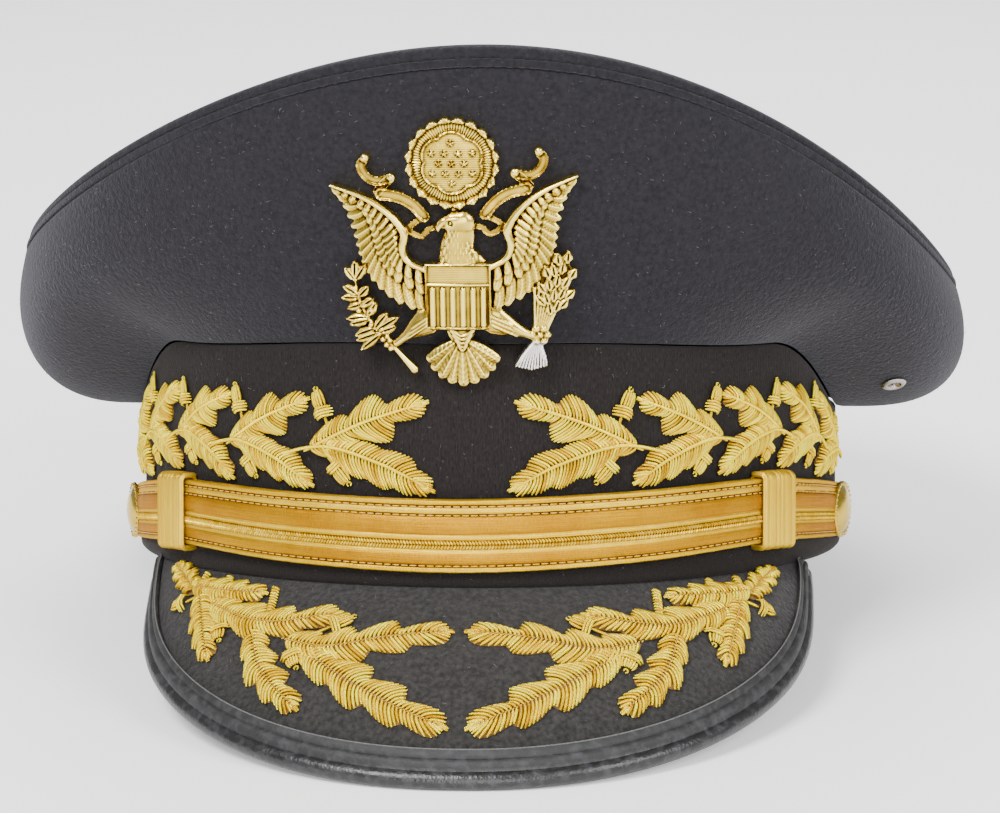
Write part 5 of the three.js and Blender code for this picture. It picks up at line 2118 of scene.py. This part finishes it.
class Relief:
    """Heights of stamped metal over a fine grid of places."""

    EMPTY = -1.0

    def __init__(self, low: tuple[float, float], high: tuple[float, float], cell: float) -> None:
        """Lays out the grid.

        Args:
            low: Lowest corner.
            high: Highest corner.
            cell: Size of one step.
        """
        self.low = low
        self.counts = tuple(round((end - start) / cell) for start, end in zip(low, high))
        self.high = tuple(start + cell * count for start, count in zip(low, self.counts))
        self.cell = cell
        across = np.linspace(low[0], self.high[0], self.counts[0] + 1)
        upward = np.linspace(low[1], self.high[1], self.counts[1] + 1)
        self.x, self.y = np.meshgrid(across, upward, indexing="ij")
        self.heights = np.full(self.x.shape, self.EMPTY)

    def window(self, points: np.ndarray, margin: float) -> View:
        """Part of the grid round some points.

        Args:
            points: Pairs of places.
            margin: Room round them.

        Returns:
            The two slices.
        """
        starts = (points.min(0) - margin - np.array(self.low)) / self.cell
        ends = (points.max(0) + margin - np.array(self.low)) / self.cell + 2
        first = np.clip(starts.astype(int), 0, None)
        last = np.clip(ends.astype(int), 1, None)
        return slice(first[0], last[0]), slice(first[1], last[1])

    def merge(self, view: View, inside: np.ndarray, height: np.ndarray) -> None:
        """Raises the metal in a part of the grid to a height, where it is inside a shape."""
        part = self.heights[view]
        np.maximum(part, np.where(inside, height, self.EMPTY), out=part)

    def nearest(
        self, view: View, points: np.ndarray, marks: np.ndarray
    ) -> tuple[np.ndarray, np.ndarray]:
        """Distance to a line and place along it.

        Args:
            view: Part of the grid.
            points: Corners of the line.
            marks: Their shares of the way along it.

        Returns:
            The distances and the shares.
        """
        x, y = self.x[view], self.y[view]
        best = np.full(x.shape, np.inf)
        along = np.zeros(x.shape)
        for start, end, mark, later in zip(points, points[1:], marks, marks[1:]):
            step = end - start
            span = max(float(step @ step), 1e-9)
            share = np.clip(((x - start[0]) * step[0] + (y - start[1]) * step[1]) / span, 0, 1)
            away = np.hypot(x - start[0] - share * step[0], y - start[1] - share * step[1])
            closer = away < best
            best = np.where(closer, away, best)
            along = np.where(closer, mark + (later - mark) * share, along)
        return best, along

    def ridge(
        self,
        path: Line,
        widths: Sequence[float],
        low: float,
        high: float,
        section: Section = Section.ROUND,
    ) -> None:
        """Raises a ridge along a smooth line.

        Args:
            path: Points of the line.
            widths: Half widths along it.
            low: Height at its edges.
            high: Height of its crest.
            section: How it is rounded.
        """
        curve = Spline(path)
        steps = 4 if len(path) == 2 else 7 * len(path)
        points = np.array([curve.at(step / steps)[:] for step in range(steps + 1)])
        view = self.window(points, max(widths))
        away, along = self.nearest(view, points, np.linspace(0, 1, steps + 1))
        width = np.interp(along, np.linspace(0, 1, len(widths)), widths)
        across = away / np.maximum(width, 1e-6)
        height = low + (high - low) * section.rise(across, along)
        self.merge(view, across <= 1, height)

    def inside(self, outline: Line) -> np.ndarray:
        """Finds the places inside an outline.

        Args:
            outline: Its corners.

        Returns:
            True where they are inside.
        """
        found = np.zeros(self.x.shape, bool)
        for (x0, y0), (x1, y1) in zip(outline, [*outline[1:], outline[0]]):
            if y0 == y1:
                continue
            spans = (self.y > min(y0, y1)) & (self.y <= max(y0, y1))
            found ^= spans & (self.x < x0 + (self.y - y0) / (y1 - y0) * (x1 - x0))
        return found

    def plate(
        self, outline: Line, low: float, high: float, bevel: float
    ) -> None:
        """Raises a plate with a rounded edge.

        Args:
            outline: Its corners.
            low: Height at its edge.
            high: Height of its flat.
            bevel: Width of the rounded edge.
        """
        points = np.array([*outline, outline[0]], float)
        away, _ = self.nearest((slice(None), slice(None)), points, np.linspace(0, 1, len(points)))
        rise = np.clip(away / bevel, 0, 1)
        height = low + (high - low) * np.sin(rise * math.pi / 2)
        self.merge((slice(None), slice(None)), self.inside(outline), height)

    def bead(self, centre: Sequence[float], radius: float, low: float, high: float) -> None:
        """Raises a round bead."""
        self.ridge([centre, [centre[0] + 0.01, centre[1]]], [radius], low, high)

    def star(self, centre: Sequence[float], radius: float, rise: float) -> None:
        """Raises a five-pointed star above what is there.

        Args:
            centre: Its middle.
            radius: Reach of its points.
            rise: Height of its middle.
        """
        view = self.window(np.array([centre]), radius)
        x, y = self.x[view] - centre[0], self.y[view] - centre[1]
        turn = np.abs((np.arctan2(x, y) / (TURN / 5) + 0.5) % 1 - 0.5) * 2
        reach = radius * (1 - 0.62 * turn) / (1 + 0.35 * turn)
        left = np.clip(1 - np.hypot(x, y) / reach, 0, 1)
        self.heights[view] += rise * np.sqrt(left)

    def carve(self, where: np.ndarray, depth: np.ndarray | float) -> None:
        """Lowers the metal by a depth."""
        self.heights = np.where(where & (self.heights > 0), self.heights - depth, self.heights)

    def cavity_light(self) -> np.ndarray:
        """Painted shade and highlight: a tone from 0 in the hollows to 1 on the crests."""
        level = np.maximum(self.heights, 0.2)
        soft = level
        for _ in range(6):
            padded = np.pad(soft, 1, mode="edge")
            soft = (padded[:-2, 1:-1] + padded[2:, 1:-1] + padded[1:-1, :-2] + padded[1:-1, 2:]) / 4
        return np.clip(0.55 + 3.2 * (level - soft), 0, 1)


@dataclass
class Badge:
    """The stamped eagle badge. Its places are in hundredths of its height."""

    bench: Bench
    finishes: Finishes
    unit: float = 0.635
    cell: float = 0.323
    low: tuple[float, float] = (-47.0, -57.0)
    high: tuple[float, float] = (47.0, 47.0)
    bend: float = 140.0
    origin: tuple[float, float, float] = (0.0, -111.98, 78.92)
    lean: float = math.radians(12.410)
    tilt: float = math.radians(2.4)
    axis: float = -0.9
    feathers: int = 16
    disc_centre: tuple[float, float] = (-1.9, 28.0)
    disc_radius: float = 16.6
    cloud_count: int = 20
    stars: tuple[tuple[float, float], ...] = (
        (-2.4, 34.9), (-9.1, 31.2), (-4.6, 31.2), (0.3, 31.2), (5.2, 31.4), (-6.6, 27.6),
        (-2.1, 27.6), (2.3, 27.6), (-8.8, 23.9), (-4.3, 23.9), (0.4, 23.8), (5.1, 24.0),
        (-2.0, 20.4),
    )

    def build(self) -> None:
        """Builds the badge."""
        self.relief = Relief(self.low, self.high, self.cell)
        for sign in (-1, 1):
            self.wing(sign)
            self.ribbon(sign)
        self.legs()
        self.tail()
        self.head()
        self.shield()
        self.disc()
        self.branch()
        self.arrows()
        self.cast()

    def lay(self, sign: float, path: Line) -> list[tuple[float, float]]:
        """Places a path on one half of the badge, which hangs a little turned.

        Args:
            sign: 1 for the viewer's right, -1 for the left.
            path: Points of the right half.

        Returns:
            The points.
        """
        cosine, sine = math.cos(self.tilt), math.sin(self.tilt)
        return [
            (self.axis + sign * x * cosine - y * sine, sign * x * sine + y * cosine)
            for x, y in path
        ]

    def wing(self, sign: float) -> None:
        """Raises one wing.

        Args:
            sign: Half of the badge.
        """
        bone = [[43.2, 21.0], [33, 17.2], [25.5, 12.6], [20.3, 7.4], [18, 2.6], [19, -2.4]]
        bone += [[17, -7], [11.5, -10]]
        first = [[38, 18.5], [31, 15], [25.5, 10.5], [21.5, 4.5], [21, -1], [19.5, -6]]
        second = [[39, 18], [32.5, 13], [29.2, 6], [28, 0], [26.4, -6], [22, -13]]
        third = [[43, 21.5], [38.2, 13], [35.2, 3.5], [33.4, -5], [29.8, -13.4], [22, -21]]
        root = Spline([*first, [12, -10.5]])
        middle = Spline([*second, [12, -18.5]])
        tips = Spline([*third, [12, -25.5]])
        lower = [middle.at(step / 10)[:] for step in range(11)]
        outer = [Vector(middle.at(s / 10)).lerp(tips.at(s / 10), 0.8)[:] for s in range(10, -1, -1)]
        self.relief.plate(self.lay(sign, [*lower, *outer]), 0.7, 0.9, 1.0)
        inner = [root.at(s / 10)[:] for s in range(10, -1, -1)]
        self.relief.plate(self.lay(sign, [*lower, *inner]), 0.9, 1.1, 1.0)
        rows = (
            (middle, tips, 0.9, 1.85, 2.05, 0.05),
            (root, middle, 1.4, 2.4, 1.75, 0.06),
            (root, middle, 1.9, 2.8, 1.25, 0.52),
        )
        for start, end, low, high, wide, pull in rows:
            for number in range(self.feathers):
                share = (number + 0.6) / self.feathers
                near = Vector(start.at(max(share - 0.02, 0)))
                far = Vector(end.at(min(share, 1)))
                near = near.lerp(far, pull - 0.5) if pull > 0.5 else near
                if pull > 0.5:
                    far = near.lerp(far, 0.55)
                knee = near.lerp(far, 0.5) + Vector((0.5, -0.5))
                path = self.lay(sign, [near[:], knee[:], far[:]])
                widths = [wide * 0.8, wide * 0.9, wide, wide, wide * 0.75]
                self.relief.ridge(path, widths, low, high, Section.FEATHER)
        self.relief.ridge(self.lay(sign, bone), [0.7, 1.3, 1.6, 1.7, 1.5, 1.3], 1.6, 3.0)

    def ribbon(self, sign: float) -> None:
        """Raises one half of the scrolled ribbon.

        Args:
            sign: Half of the badge.
        """
        rows = (
            ([[30.6, 30.0], [32.0, 27.8], [30.6, 24.2], [27.0, 22.2], [21.8, 23.2]], 1.9, 0.9, 2.0),
            ([[21.8, 23.0], [24.4, 20.8], [26.6, 18.4]], 1.9, 0.8, 1.6),
            ([[25.4, 17.4], [19.5, 16.4], [14.3, 13.4], [10.6, 9.2]], 2.3, 1.2, 2.2),
            ([[12.4, 8.0], [16.4, 4.9], [12.2, 1.9], [9.2, 4.5], [6.2, 5.2]], 1.25, 0.9, 2.0),
        )
        for path, width, low, high in rows:
            self.relief.ridge(self.lay(sign, path), [width], low, high, Section.RIMMED)
        self.relief.bead(self.lay(sign, [[30.4, 30.6]])[0], 1.9, 1.2, 2.7)
        self.relief.bead(self.lay(sign, [[21.6, 23.4]])[0], 1.7, 1.0, 2.3)

    def head(self) -> None:
        """Raises the head and neck, which look to the viewer's left."""
        relief = self.relief
        relief.ridge([[0.6, -9], [-0.6, -3], [0.4, 2], [1.0, 6]], [9.2, 6.2, 5.6, 4.6], 1.0, 2.9)
        for row in range(7):
            for number in range(6 - row // 2):
                x = lerp(-6.5, 7.0, (number + 0.5 * (row % 2) + 0.3) / 6) * (1 - row * 0.07)
                y = -8.2 + row * 1.9
                path = [[x * 0.93, y + 2.0], [x, y]]
                high = 3.0 - 0.02 * abs(x) ** 1.6
                relief.ridge(path, [0.8, 1.05, 0.5], 2.0, high, Section.FEATHER)
        relief.ridge([[-1.8, 6.5], [1.6, 6.6]], [3.9, 4.3], 1.6, 3.25)
        beak = [[-2.6, 7.2], [-5.0, 7.0], [-6.8, 5.2], [-6.9, 3.7]]
        relief.ridge(beak, [2.3, 2.0, 1.4, 0.5], 1.5, 3.0)
        relief.ridge([[-0.5, 8.4], [-3.0, 8.2], [-4.4, 7.6]], [0.7, 0.6, 0.3], 2.6, 3.35)
        relief.ridge([[-2.4, 4.6], [-5.4, 4.9]], [0.8, 0.5], 1.6, 2.4)
        eye = (relief.x + 2.7) ** 2 + (relief.y - 6.6) ** 2
        relief.carve(eye < 1.2, 0.55 * np.exp(-((eye - 0.5) ** 2) * 6))
        relief.ridge([[-1.2, 9.5], [-1.4, 12.6]], [1.6, 1.1], 0.8, 1.6)

    def shield(self) -> None:
        """Raises the shield with its frame, ruled chief and six bars."""
        relief = self.relief
        outline = [[-12.4, -7.6], [11.4, -7.6], [11.3, -30], [10.4, -31.8], [8.5, -32.5]]
        outline += [[-9.3, -32.5], [-11.2, -31.8], [-12.0, -30]]
        relief.plate(outline, 1.9, 3.0, 0.9)
        x, y = relief.x, relief.y
        field = (x > -11.2) & (x < 10.2) & (y < -8.7) & (y > -31.3)
        swell = 0.25 * (1 - ((x + 0.5) / 11) ** 2)
        relief.heights = np.where(field, 2.45 + swell, relief.heights)
        chief = field & (y > -15.4)
        relief.carve(chief, 0.05 + 0.05 * np.sin(y * TURN / 0.66))
        relief.carve(field & (y < -15.4) & (y > -16.2), -0.3)
        for number in range(6):
            middle = -0.5 + (number - 2.5) * 3.52
            path = [[middle, -17.6], [middle, -30.4]]
            relief.ridge(path, [0.98], 2.5, 3.2)

    def disc(self) -> None:
        """Raises the disc: clouds, rays, a lobed rim, ruled lines and stars."""
        relief = self.relief
        cx, cy = self.disc_centre
        x, y = relief.x - cx, relief.y - cy
        reach = np.hypot(x, y)
        turn = np.arctan2(y, x)
        body = reach < self.disc_radius - 0.9
        rays = 1.35 + 0.13 * np.cos(turn * 84)
        lobed = 9.8 + 1.4 * np.abs(np.sin(turn * 3)) ** 0.7
        ruled = 1.5 + 0.07 * np.sin(y * TURN / 0.72) + 0.2 * (1 - (reach / 11) ** 2)
        level = np.where(reach < lobed, ruled, rays)
        rim = 0.65 * np.exp(-(((reach - lobed) / 0.42) ** 2))
        relief.merge((slice(None), slice(None)), body, level + rim)
        for star in self.stars:
            relief.star(star, 1.5, 0.9)
        for number in range(self.cloud_count):
            middle = (number + 0.5) / self.cloud_count * TURN
            radius = self.disc_radius - 1.25
            half = TURN / self.cloud_count * 0.15
            path = []
            for share in (-1, 0, 1):
                swing = middle + half * share
                path.append([cx + radius * math.cos(swing), cy + radius * math.sin(swing)])
            relief.ridge(path, [1.45, 1.6, 1.45], 0.7, 2.5)
            for share in (-2.2, 0.0, 2.2):
                swing = middle + half * share
                lump = radius + (0.6 if share == 0 else -0.2)
                spot = [cx + lump * math.cos(swing), cy + lump * math.sin(swing)]
                relief.bead(spot, 0.8, 1.8, 2.9)

    def legs(self) -> None:
        """Raises the feathered legs."""
        legs = (
            (-1, [[9.5, -28], [15.5, -32.2], [22.4, -37.6]]),
            (1, [[9.5, -28], [17, -31.5], [27, -35.6]]),
        )
        for sign, foot in legs:
            path = [[sign * x, y] for x, y in foot]
            self.relief.ridge(path, [4.6, 5.2, 3.8, 1.9, 1.6], 1.2, 2.7)
            for number in range(7):
                share = 0.1 + number * 0.07
                spot = Spline(path).at(share)
                for offset in (-1.9, 0, 1.9):
                    start = [spot.x - sign * offset * 0.4, spot.y + offset]
                    end = [start[0] + sign * 1.7, start[1] - 1.2]
                    self.relief.ridge([start, end], [0.6, 0.8, 0.3], 2.0, 2.85)

    def tail(self) -> None:
        """Raises the fan of the tail and the scales at its root."""
        relief = self.relief
        count = 9
        for number in range(count):
            way = number / (count - 1) * 2 - 1
            swing = math.radians(52) * way
            reach = 19.6 - 3.2 * abs(way) ** 1.5
            root = [0.6 + 2.4 * math.sin(swing), -35.5 - 2.0 * math.cos(swing)]
            tip = [0.9 + (reach - 2) * math.sin(swing), -34.2 - (reach - 2.0) * math.cos(swing)]
            high = 2.3 if number % 2 == 0 else 2.05
            relief.ridge([root, tip], [1.1, 1.9, 2.35, 2.4, 2.1], 1.0, high, Section.FEATHER)
        relief.ridge([[0.2, -31], [0.8, -38.5]], [6.0, 4.8, 1.5], 1.3, 2.4)
        for number in range(5):
            y = -33.0 - number * 1.35
            half = 4.6 - number * 0.85
            path = [[0.6 - half, y + half * 0.45], [0.8, y - 1.5], [1.0 + half, y + half * 0.45]]
            relief.ridge(path, [0.6], 2.0, 2.75)

    def branch(self) -> None:
        """Raises the leafy branch on the left."""
        relief = self.relief
        stem = [[-16.4, -47.6], [-23, -40], [-29.5, -33], [-33.8, -26.5], [-36.2, -20], [-37, -13]]
        relief.ridge(stem, [1.7, 1.0, 0.9, 0.8, 0.7, 0.5], 0.9, 2.0)
        leaves = (
            ([-37, -15], [-40.6, -10.4]), ([-37, -14], [-36.8, -7.6]),
            ([-36.6, -15], [-33.0, -9.2]), ([-36.4, -20], [-41.4, -17.2]),
            ([-36, -21.5], [-42.2, -21.6]), ([-35.6, -21], [-31.8, -17.0]),
            ([-34.6, -24.5], [-30.0, -21.4]), ([-35, -24], [-40.0, -25.6]),
            ([-32.6, -28], [-29.2, -22.6]), ([-33, -28.5], [-40.6, -29.4]),
            ([-32.4, -29.5], [-39.6, -31.6]), ([-30, -32.2], [-25.4, -26.4]),
            ([-29.4, -33], [-21.2, -27.8]), ([-28.6, -34], [-22.0, -31.4]),
            ([-30.4, -32.6], [-37.8, -35.6]), ([-29.2, -34.2], [-37.2, -37.4]),
            ([-28.6, -35], [-35.6, -40.8]),
        )
        for root, tip in leaves:
            relief.ridge([root, tip], [0.7, 1.8, 2.1, 1.5, 0.15], 0.9, 2.6, Section.LEAF)
        berries = (
            (-33.8, -24.4), (-35.8, -26.4), (-31.4, -25.8), (-31.6, -31.4), (-27.6, -32.8),
            (-27.4, -36.6), (-28.6, -34.4), (-24.8, -36.8), (-26.2, -38.6), (-25.8, -35.4),
            (-24.6, -39.9), (-37.4, -18.2),
        )
        for spot in berries:
            relief.bead(spot, 1.15, 1.2, 2.6)

    def arrows(self) -> None:
        """Raises the bundle of arrows with its knot and tassel."""
        relief = self.relief
        root = Vector((27.9, -34.5))
        relief.ridge([[27.9, -35], [30.4, -24], [33.4, -13]], [2.4, 3.4, 5.6, 6.6], 0.8, 1.7)
        for number in range(9):
            way = number / 8 * 2 - 1
            start = root + Vector((way * 1.8, 0))
            end = Vector((32.4 + way * 6.2, -16.5 + 1.2 * way))
            relief.ridge([start[:], end[:]], [0.5, 0.75], 1.5, 2.4)
        heads = (
            (34.2, -4.4, 95), (38.2, -3.8, 85), (36.4, -7.8, 80), (40.9, -10.4, 60),
            (32.4, -8.6, 100), (29.8, -9.4, 110), (38.4, -13.4, 60), (34.6, -12.4, 80),
            (30.8, -13.6, 100), (27.4, -15.2, 120), (40.4, -18.2, 45), (36.8, -17.2, 65),
            (33.2, -17.6, 85), (29.6, -18.6, 105), (26.6, -20.0, 130), (38.0, -21.4, 50),
            (34.8, -21.8, 70), (31.2, -22.4, 95),
        )
        for x, y, turn in heads:
            heading = Vector((math.cos(math.radians(turn)), math.sin(math.radians(turn))))
            start = Vector((x, y)) - heading * 4.4
            relief.ridge([start[:], [x, y]], [1.0, 2.3, 2.0, 1.1, 0.1], 1.3, 2.8, Section.LEAF)
        for number in range(6):
            swing = number / 6 * TURN
            spot = [27.9 + 2.5 * math.cos(swing), -34.6 + 2.5 * math.sin(swing)]
            relief.bead(spot, 1.9, 1.2, 2.8)
        relief.bead([27.9, -34.6], 1.5, 1.6, 3.0)
        for number in range(11):
            way = number / 10 * 2 - 1
            path = [[26.6 + way * 1.6, -37.6], [25.6 + way * 4.0, -42]]
            path += [[24.8 + way * 5.4, -47.4 + 1.4 * abs(way)]]
            relief.ridge(path, [0.6, 0.68, 0.62], 0.8, 2.3)

    def cast(self) -> None:
        """Turns the relief to bent metal and hangs it on the crown."""
        relief = self.relief
        width, height = relief.high[0] - relief.low[0], relief.high[1] - relief.low[1]
        made = self.bench.blank()
        bmesh.ops.create_grid(
            made, x_segments=relief.counts[0], y_segments=relief.counts[1], size=0.5, calc_uvs=True
        )
        self.bench.woven(made, width * self.unit, height * self.unit)
        tones = made.verts.layers.float[TONE_NAME]
        hollows = relief.cavity_light()
        empty = []
        for vert in made.verts:
            column = round((vert.co.x + 0.5) * relief.counts[0])
            row = round((vert.co.y + 0.5) * relief.counts[1])
            level = relief.heights[column, row]
            # Painted shade in the hollows and painted highlight on the crests, worked out from the
            # relief's shape.
            vert[tones] = hollows[column, row]
            if level <= 0:
                empty.append(vert)
            x = (relief.low[0] + (vert.co.x + 0.5) * width) * self.unit
            y = (relief.low[1] + (vert.co.y + 0.5) * height) * self.unit
            vert.co = (x, y, level)
        bmesh.ops.delete(made, geom=empty, context="VERTS")
        edge = [vert for vert in made.verts if vert.is_boundary]
        for _ in range(2):
            bmesh.ops.smooth_vert(made, verts=edge, factor=0.5, use_axis_x=True, use_axis_y=True)
        front = made.faces[:]
        grown = bmesh.ops.extrude_face_region(made, geom=front, use_keep_orig=True)
        for part in grown["geom"]:
            if isinstance(part, bmesh.types.BMVert):
                part.co.z = 0.0
        for face in made.faces:
            middle = face.calc_center_median()
            if middle.y < -36.9 * self.unit and middle.x > 18 * self.unit:
                face.material_index = 1
        up = Vector((0, -math.sin(self.lean), math.cos(self.lean)))
        out = Vector((0, -math.cos(self.lean), -math.sin(self.lean)))
        origin = Vector(self.origin)
        for vert in made.verts:
            turn = vert.co.x / self.bend
            radius = self.bend + vert.co.z
            depth = radius * math.cos(turn) - self.bend
            across = Vector((radius * math.sin(turn), 0, 0))
            vert.co = origin + across + up * vert.co.y + out * depth
        materials = [self.finishes.brass, self.finishes.silver]
        self.bench.piece("stamped_badge", made, materials, Slot.BRASS, ["badge"], crease=75)


@dataclass
class Hardware:
    """The eyelets, and the CAD node that only takes a finish."""

    shape: CapShape
    bench: Bench
    finishes: Finishes
    hole: float = 1.4
    barrel: float = 1.9
    flange: float = 3.0
    sides: int = 32
    tone: float = 0.35

    def build(self, eyelets: Sequence[tuple[Side, float, float]]) -> None:
        """Builds the eyelets and dresses the screw.

        Args:
            eyelets: Side, angle and share of each.
        """
        sheet = self.shape.crown_sheet()
        wall = -self.shape.crown_wall - 1.2
        profile = [(self.hole, wall - 0.6), (self.flange, wall - 0.6), (self.flange, wall)]
        profile += [(self.barrel, wall), (self.barrel, 0.2), (self.flange - 0.15, 0.2)]
        profile += [(self.flange, 0.35), (self.flange - 0.3, 0.62), (self.barrel + 0.25, 0.86)]
        profile += [(self.hole + 0.3, 0.75), (self.hole, 0.35), (self.hole, wall - 0.6)]
        for side, angle, share in eyelets:
            made = Strap.turned(profile, self.sides)
            self.bench.paint(made, self.tone)
            turn = sheet.normal(angle, share).to_track_quat("Z", "Y").to_matrix().to_4x4()
            matrix = Matrix.Translation(sheet.at(angle, share)) @ turn
            bmesh.ops.transform(made, matrix=matrix, verts=made.verts)
            name = f"vent_ring_{side.word}"
            silver = [self.finishes.silver]
            self.bench.piece(name, made, silver, Slot.BRASS, [f"eyelet_{side.word}"])
        mesh = frame["nodes"]["badge_screw"].data
        mesh.materials.clear()
        mesh.materials.append(self.finishes.brass)


@dataclass
class Studio:
    """The floor, the lights and the camera."""

    axes: CapAxes
    distance: float = 950.0
    azimuth: float = math.radians(3.7)
    elevation: float = math.radians(4.1)
    target: tuple[float, float, float] = (0.0, 0.0, 36.0)
    focal_px: float = 3733.5
    image: tuple[int, int] = (1000, 813)
    centre_px: tuple[float, float] = (491.5, 394.5)
    sensor: float = 36.0
    lamp_target: tuple[float, float, float] = (0, 0, 0.08)

    def build(self) -> None:
        """Builds the set."""
        self.camera()
        self.floor()
        self.lights()

    def camera(self) -> None:
        """Places the camera as the picture was taken."""
        level = math.cos(self.elevation)
        x, y = math.sin(self.azimuth) * level, -math.cos(self.azimuth) * level
        back = Vector((x, y, math.sin(self.elevation)))
        eye = Vector(self.target) + back * self.distance
        right = (-back).cross(Vector((0, 0, 1))).normalized()
        up = right.cross(-back)
        turn = Matrix((right, up, back)).transposed()
        data = bpy.data.cameras.new("camera")
        data.sensor_width = self.sensor
        data.lens = self.focal_px / self.image[0] * self.sensor
        data.shift_x = (self.image[0] / 2 - self.centre_px[0]) / self.image[0]
        data.shift_y = -(self.image[1] / 2 - self.centre_px[1]) / self.image[0]
        data.dof.use_dof = False
        data.clip_start = 0.05
        data.clip_end = 20
        made = bpy.data.objects.new("camera", data)
        place = Matrix.Translation(self.axes.matrix @ eye)
        made.matrix_world = place @ (self.axes.turn @ turn).to_4x4()
        bpy.context.scene.collection.objects.link(made)
        bpy.context.scene.camera = made

    def floor(self) -> None:
        """Lays the pale floor."""
        made = bmesh.new()
        bmesh.ops.create_grid(made, x_segments=1, y_segments=1, size=6)
        mesh = bpy.data.meshes.new("floor")
        made.to_mesh(mesh)
        made.free()
        pale = {"Base_Color": (0.92, 0.92, 0.92), "Emission_Color": (1.0, 1.0, 1.0)}
        recipe = Recipe("floor", Roughness=0.9, Emission_Strength=0.35, **pale)
        mesh.materials.append(recipe.material)
        floor = bpy.data.objects.new("floor", mesh)
        bpy.context.scene.collection.objects.link(floor)

    def lights(self) -> None:
        """Hangs the soft lights and the pale surroundings."""
        world = bpy.data.worlds.new("studio")
        world.use_nodes = True
        world.node_tree.nodes["Background"].inputs["Color"].default_value = (1, 1, 1, 1)
        world.node_tree.nodes["Background"].inputs["Strength"].default_value = 0.5
        bpy.context.scene.world = world
        rows = (
            ("key", (-0.55, -1.0, 1.35), 0.7, 44.0),
            ("fill", (1.1, -0.9, 0.9), 0.8, 22.0),
            ("front", (0.1, -1.6, 0.35), 0.8, 16.0),
            ("back", (0.0, 1.0, 1.2), 1.0, 22.0),
        )
        for name, place, size, power in rows:
            data = bpy.data.lights.new(name, "AREA")
            data.size = size
            data.energy = power
            lamp = bpy.data.objects.new(name, data)
            lamp.location = place
            aim = Vector(self.lamp_target) - Vector(place)
            lamp.rotation_euler = aim.to_track_quat("-Z", "Y").to_euler()
            bpy.context.scene.collection.objects.link(lamp)


def main() -> None:
    """Builds the cap's sub-assemblies in order."""
    logging.basicConfig(level=logging.INFO, format="%(name)s: %(message)s")
    shape = CapShape()
    axes = CapAxes(frame["record"])
    bench = Bench(axes)
    finishes = Finishes.mixed()
    Studio(axes).build()
    crown = CrownAndBand(shape, bench, finishes)
    crown.build()
    Visor(shape, bench, finishes).build()
    Strap(shape, bench, finishes).build()
    Embroidery(shape, bench, finishes).build()
    Badge(bench, finishes).build()
    Hardware(shape, bench, finishes).build(crown.eyelets)


if __name__ == "__main__":
    main()
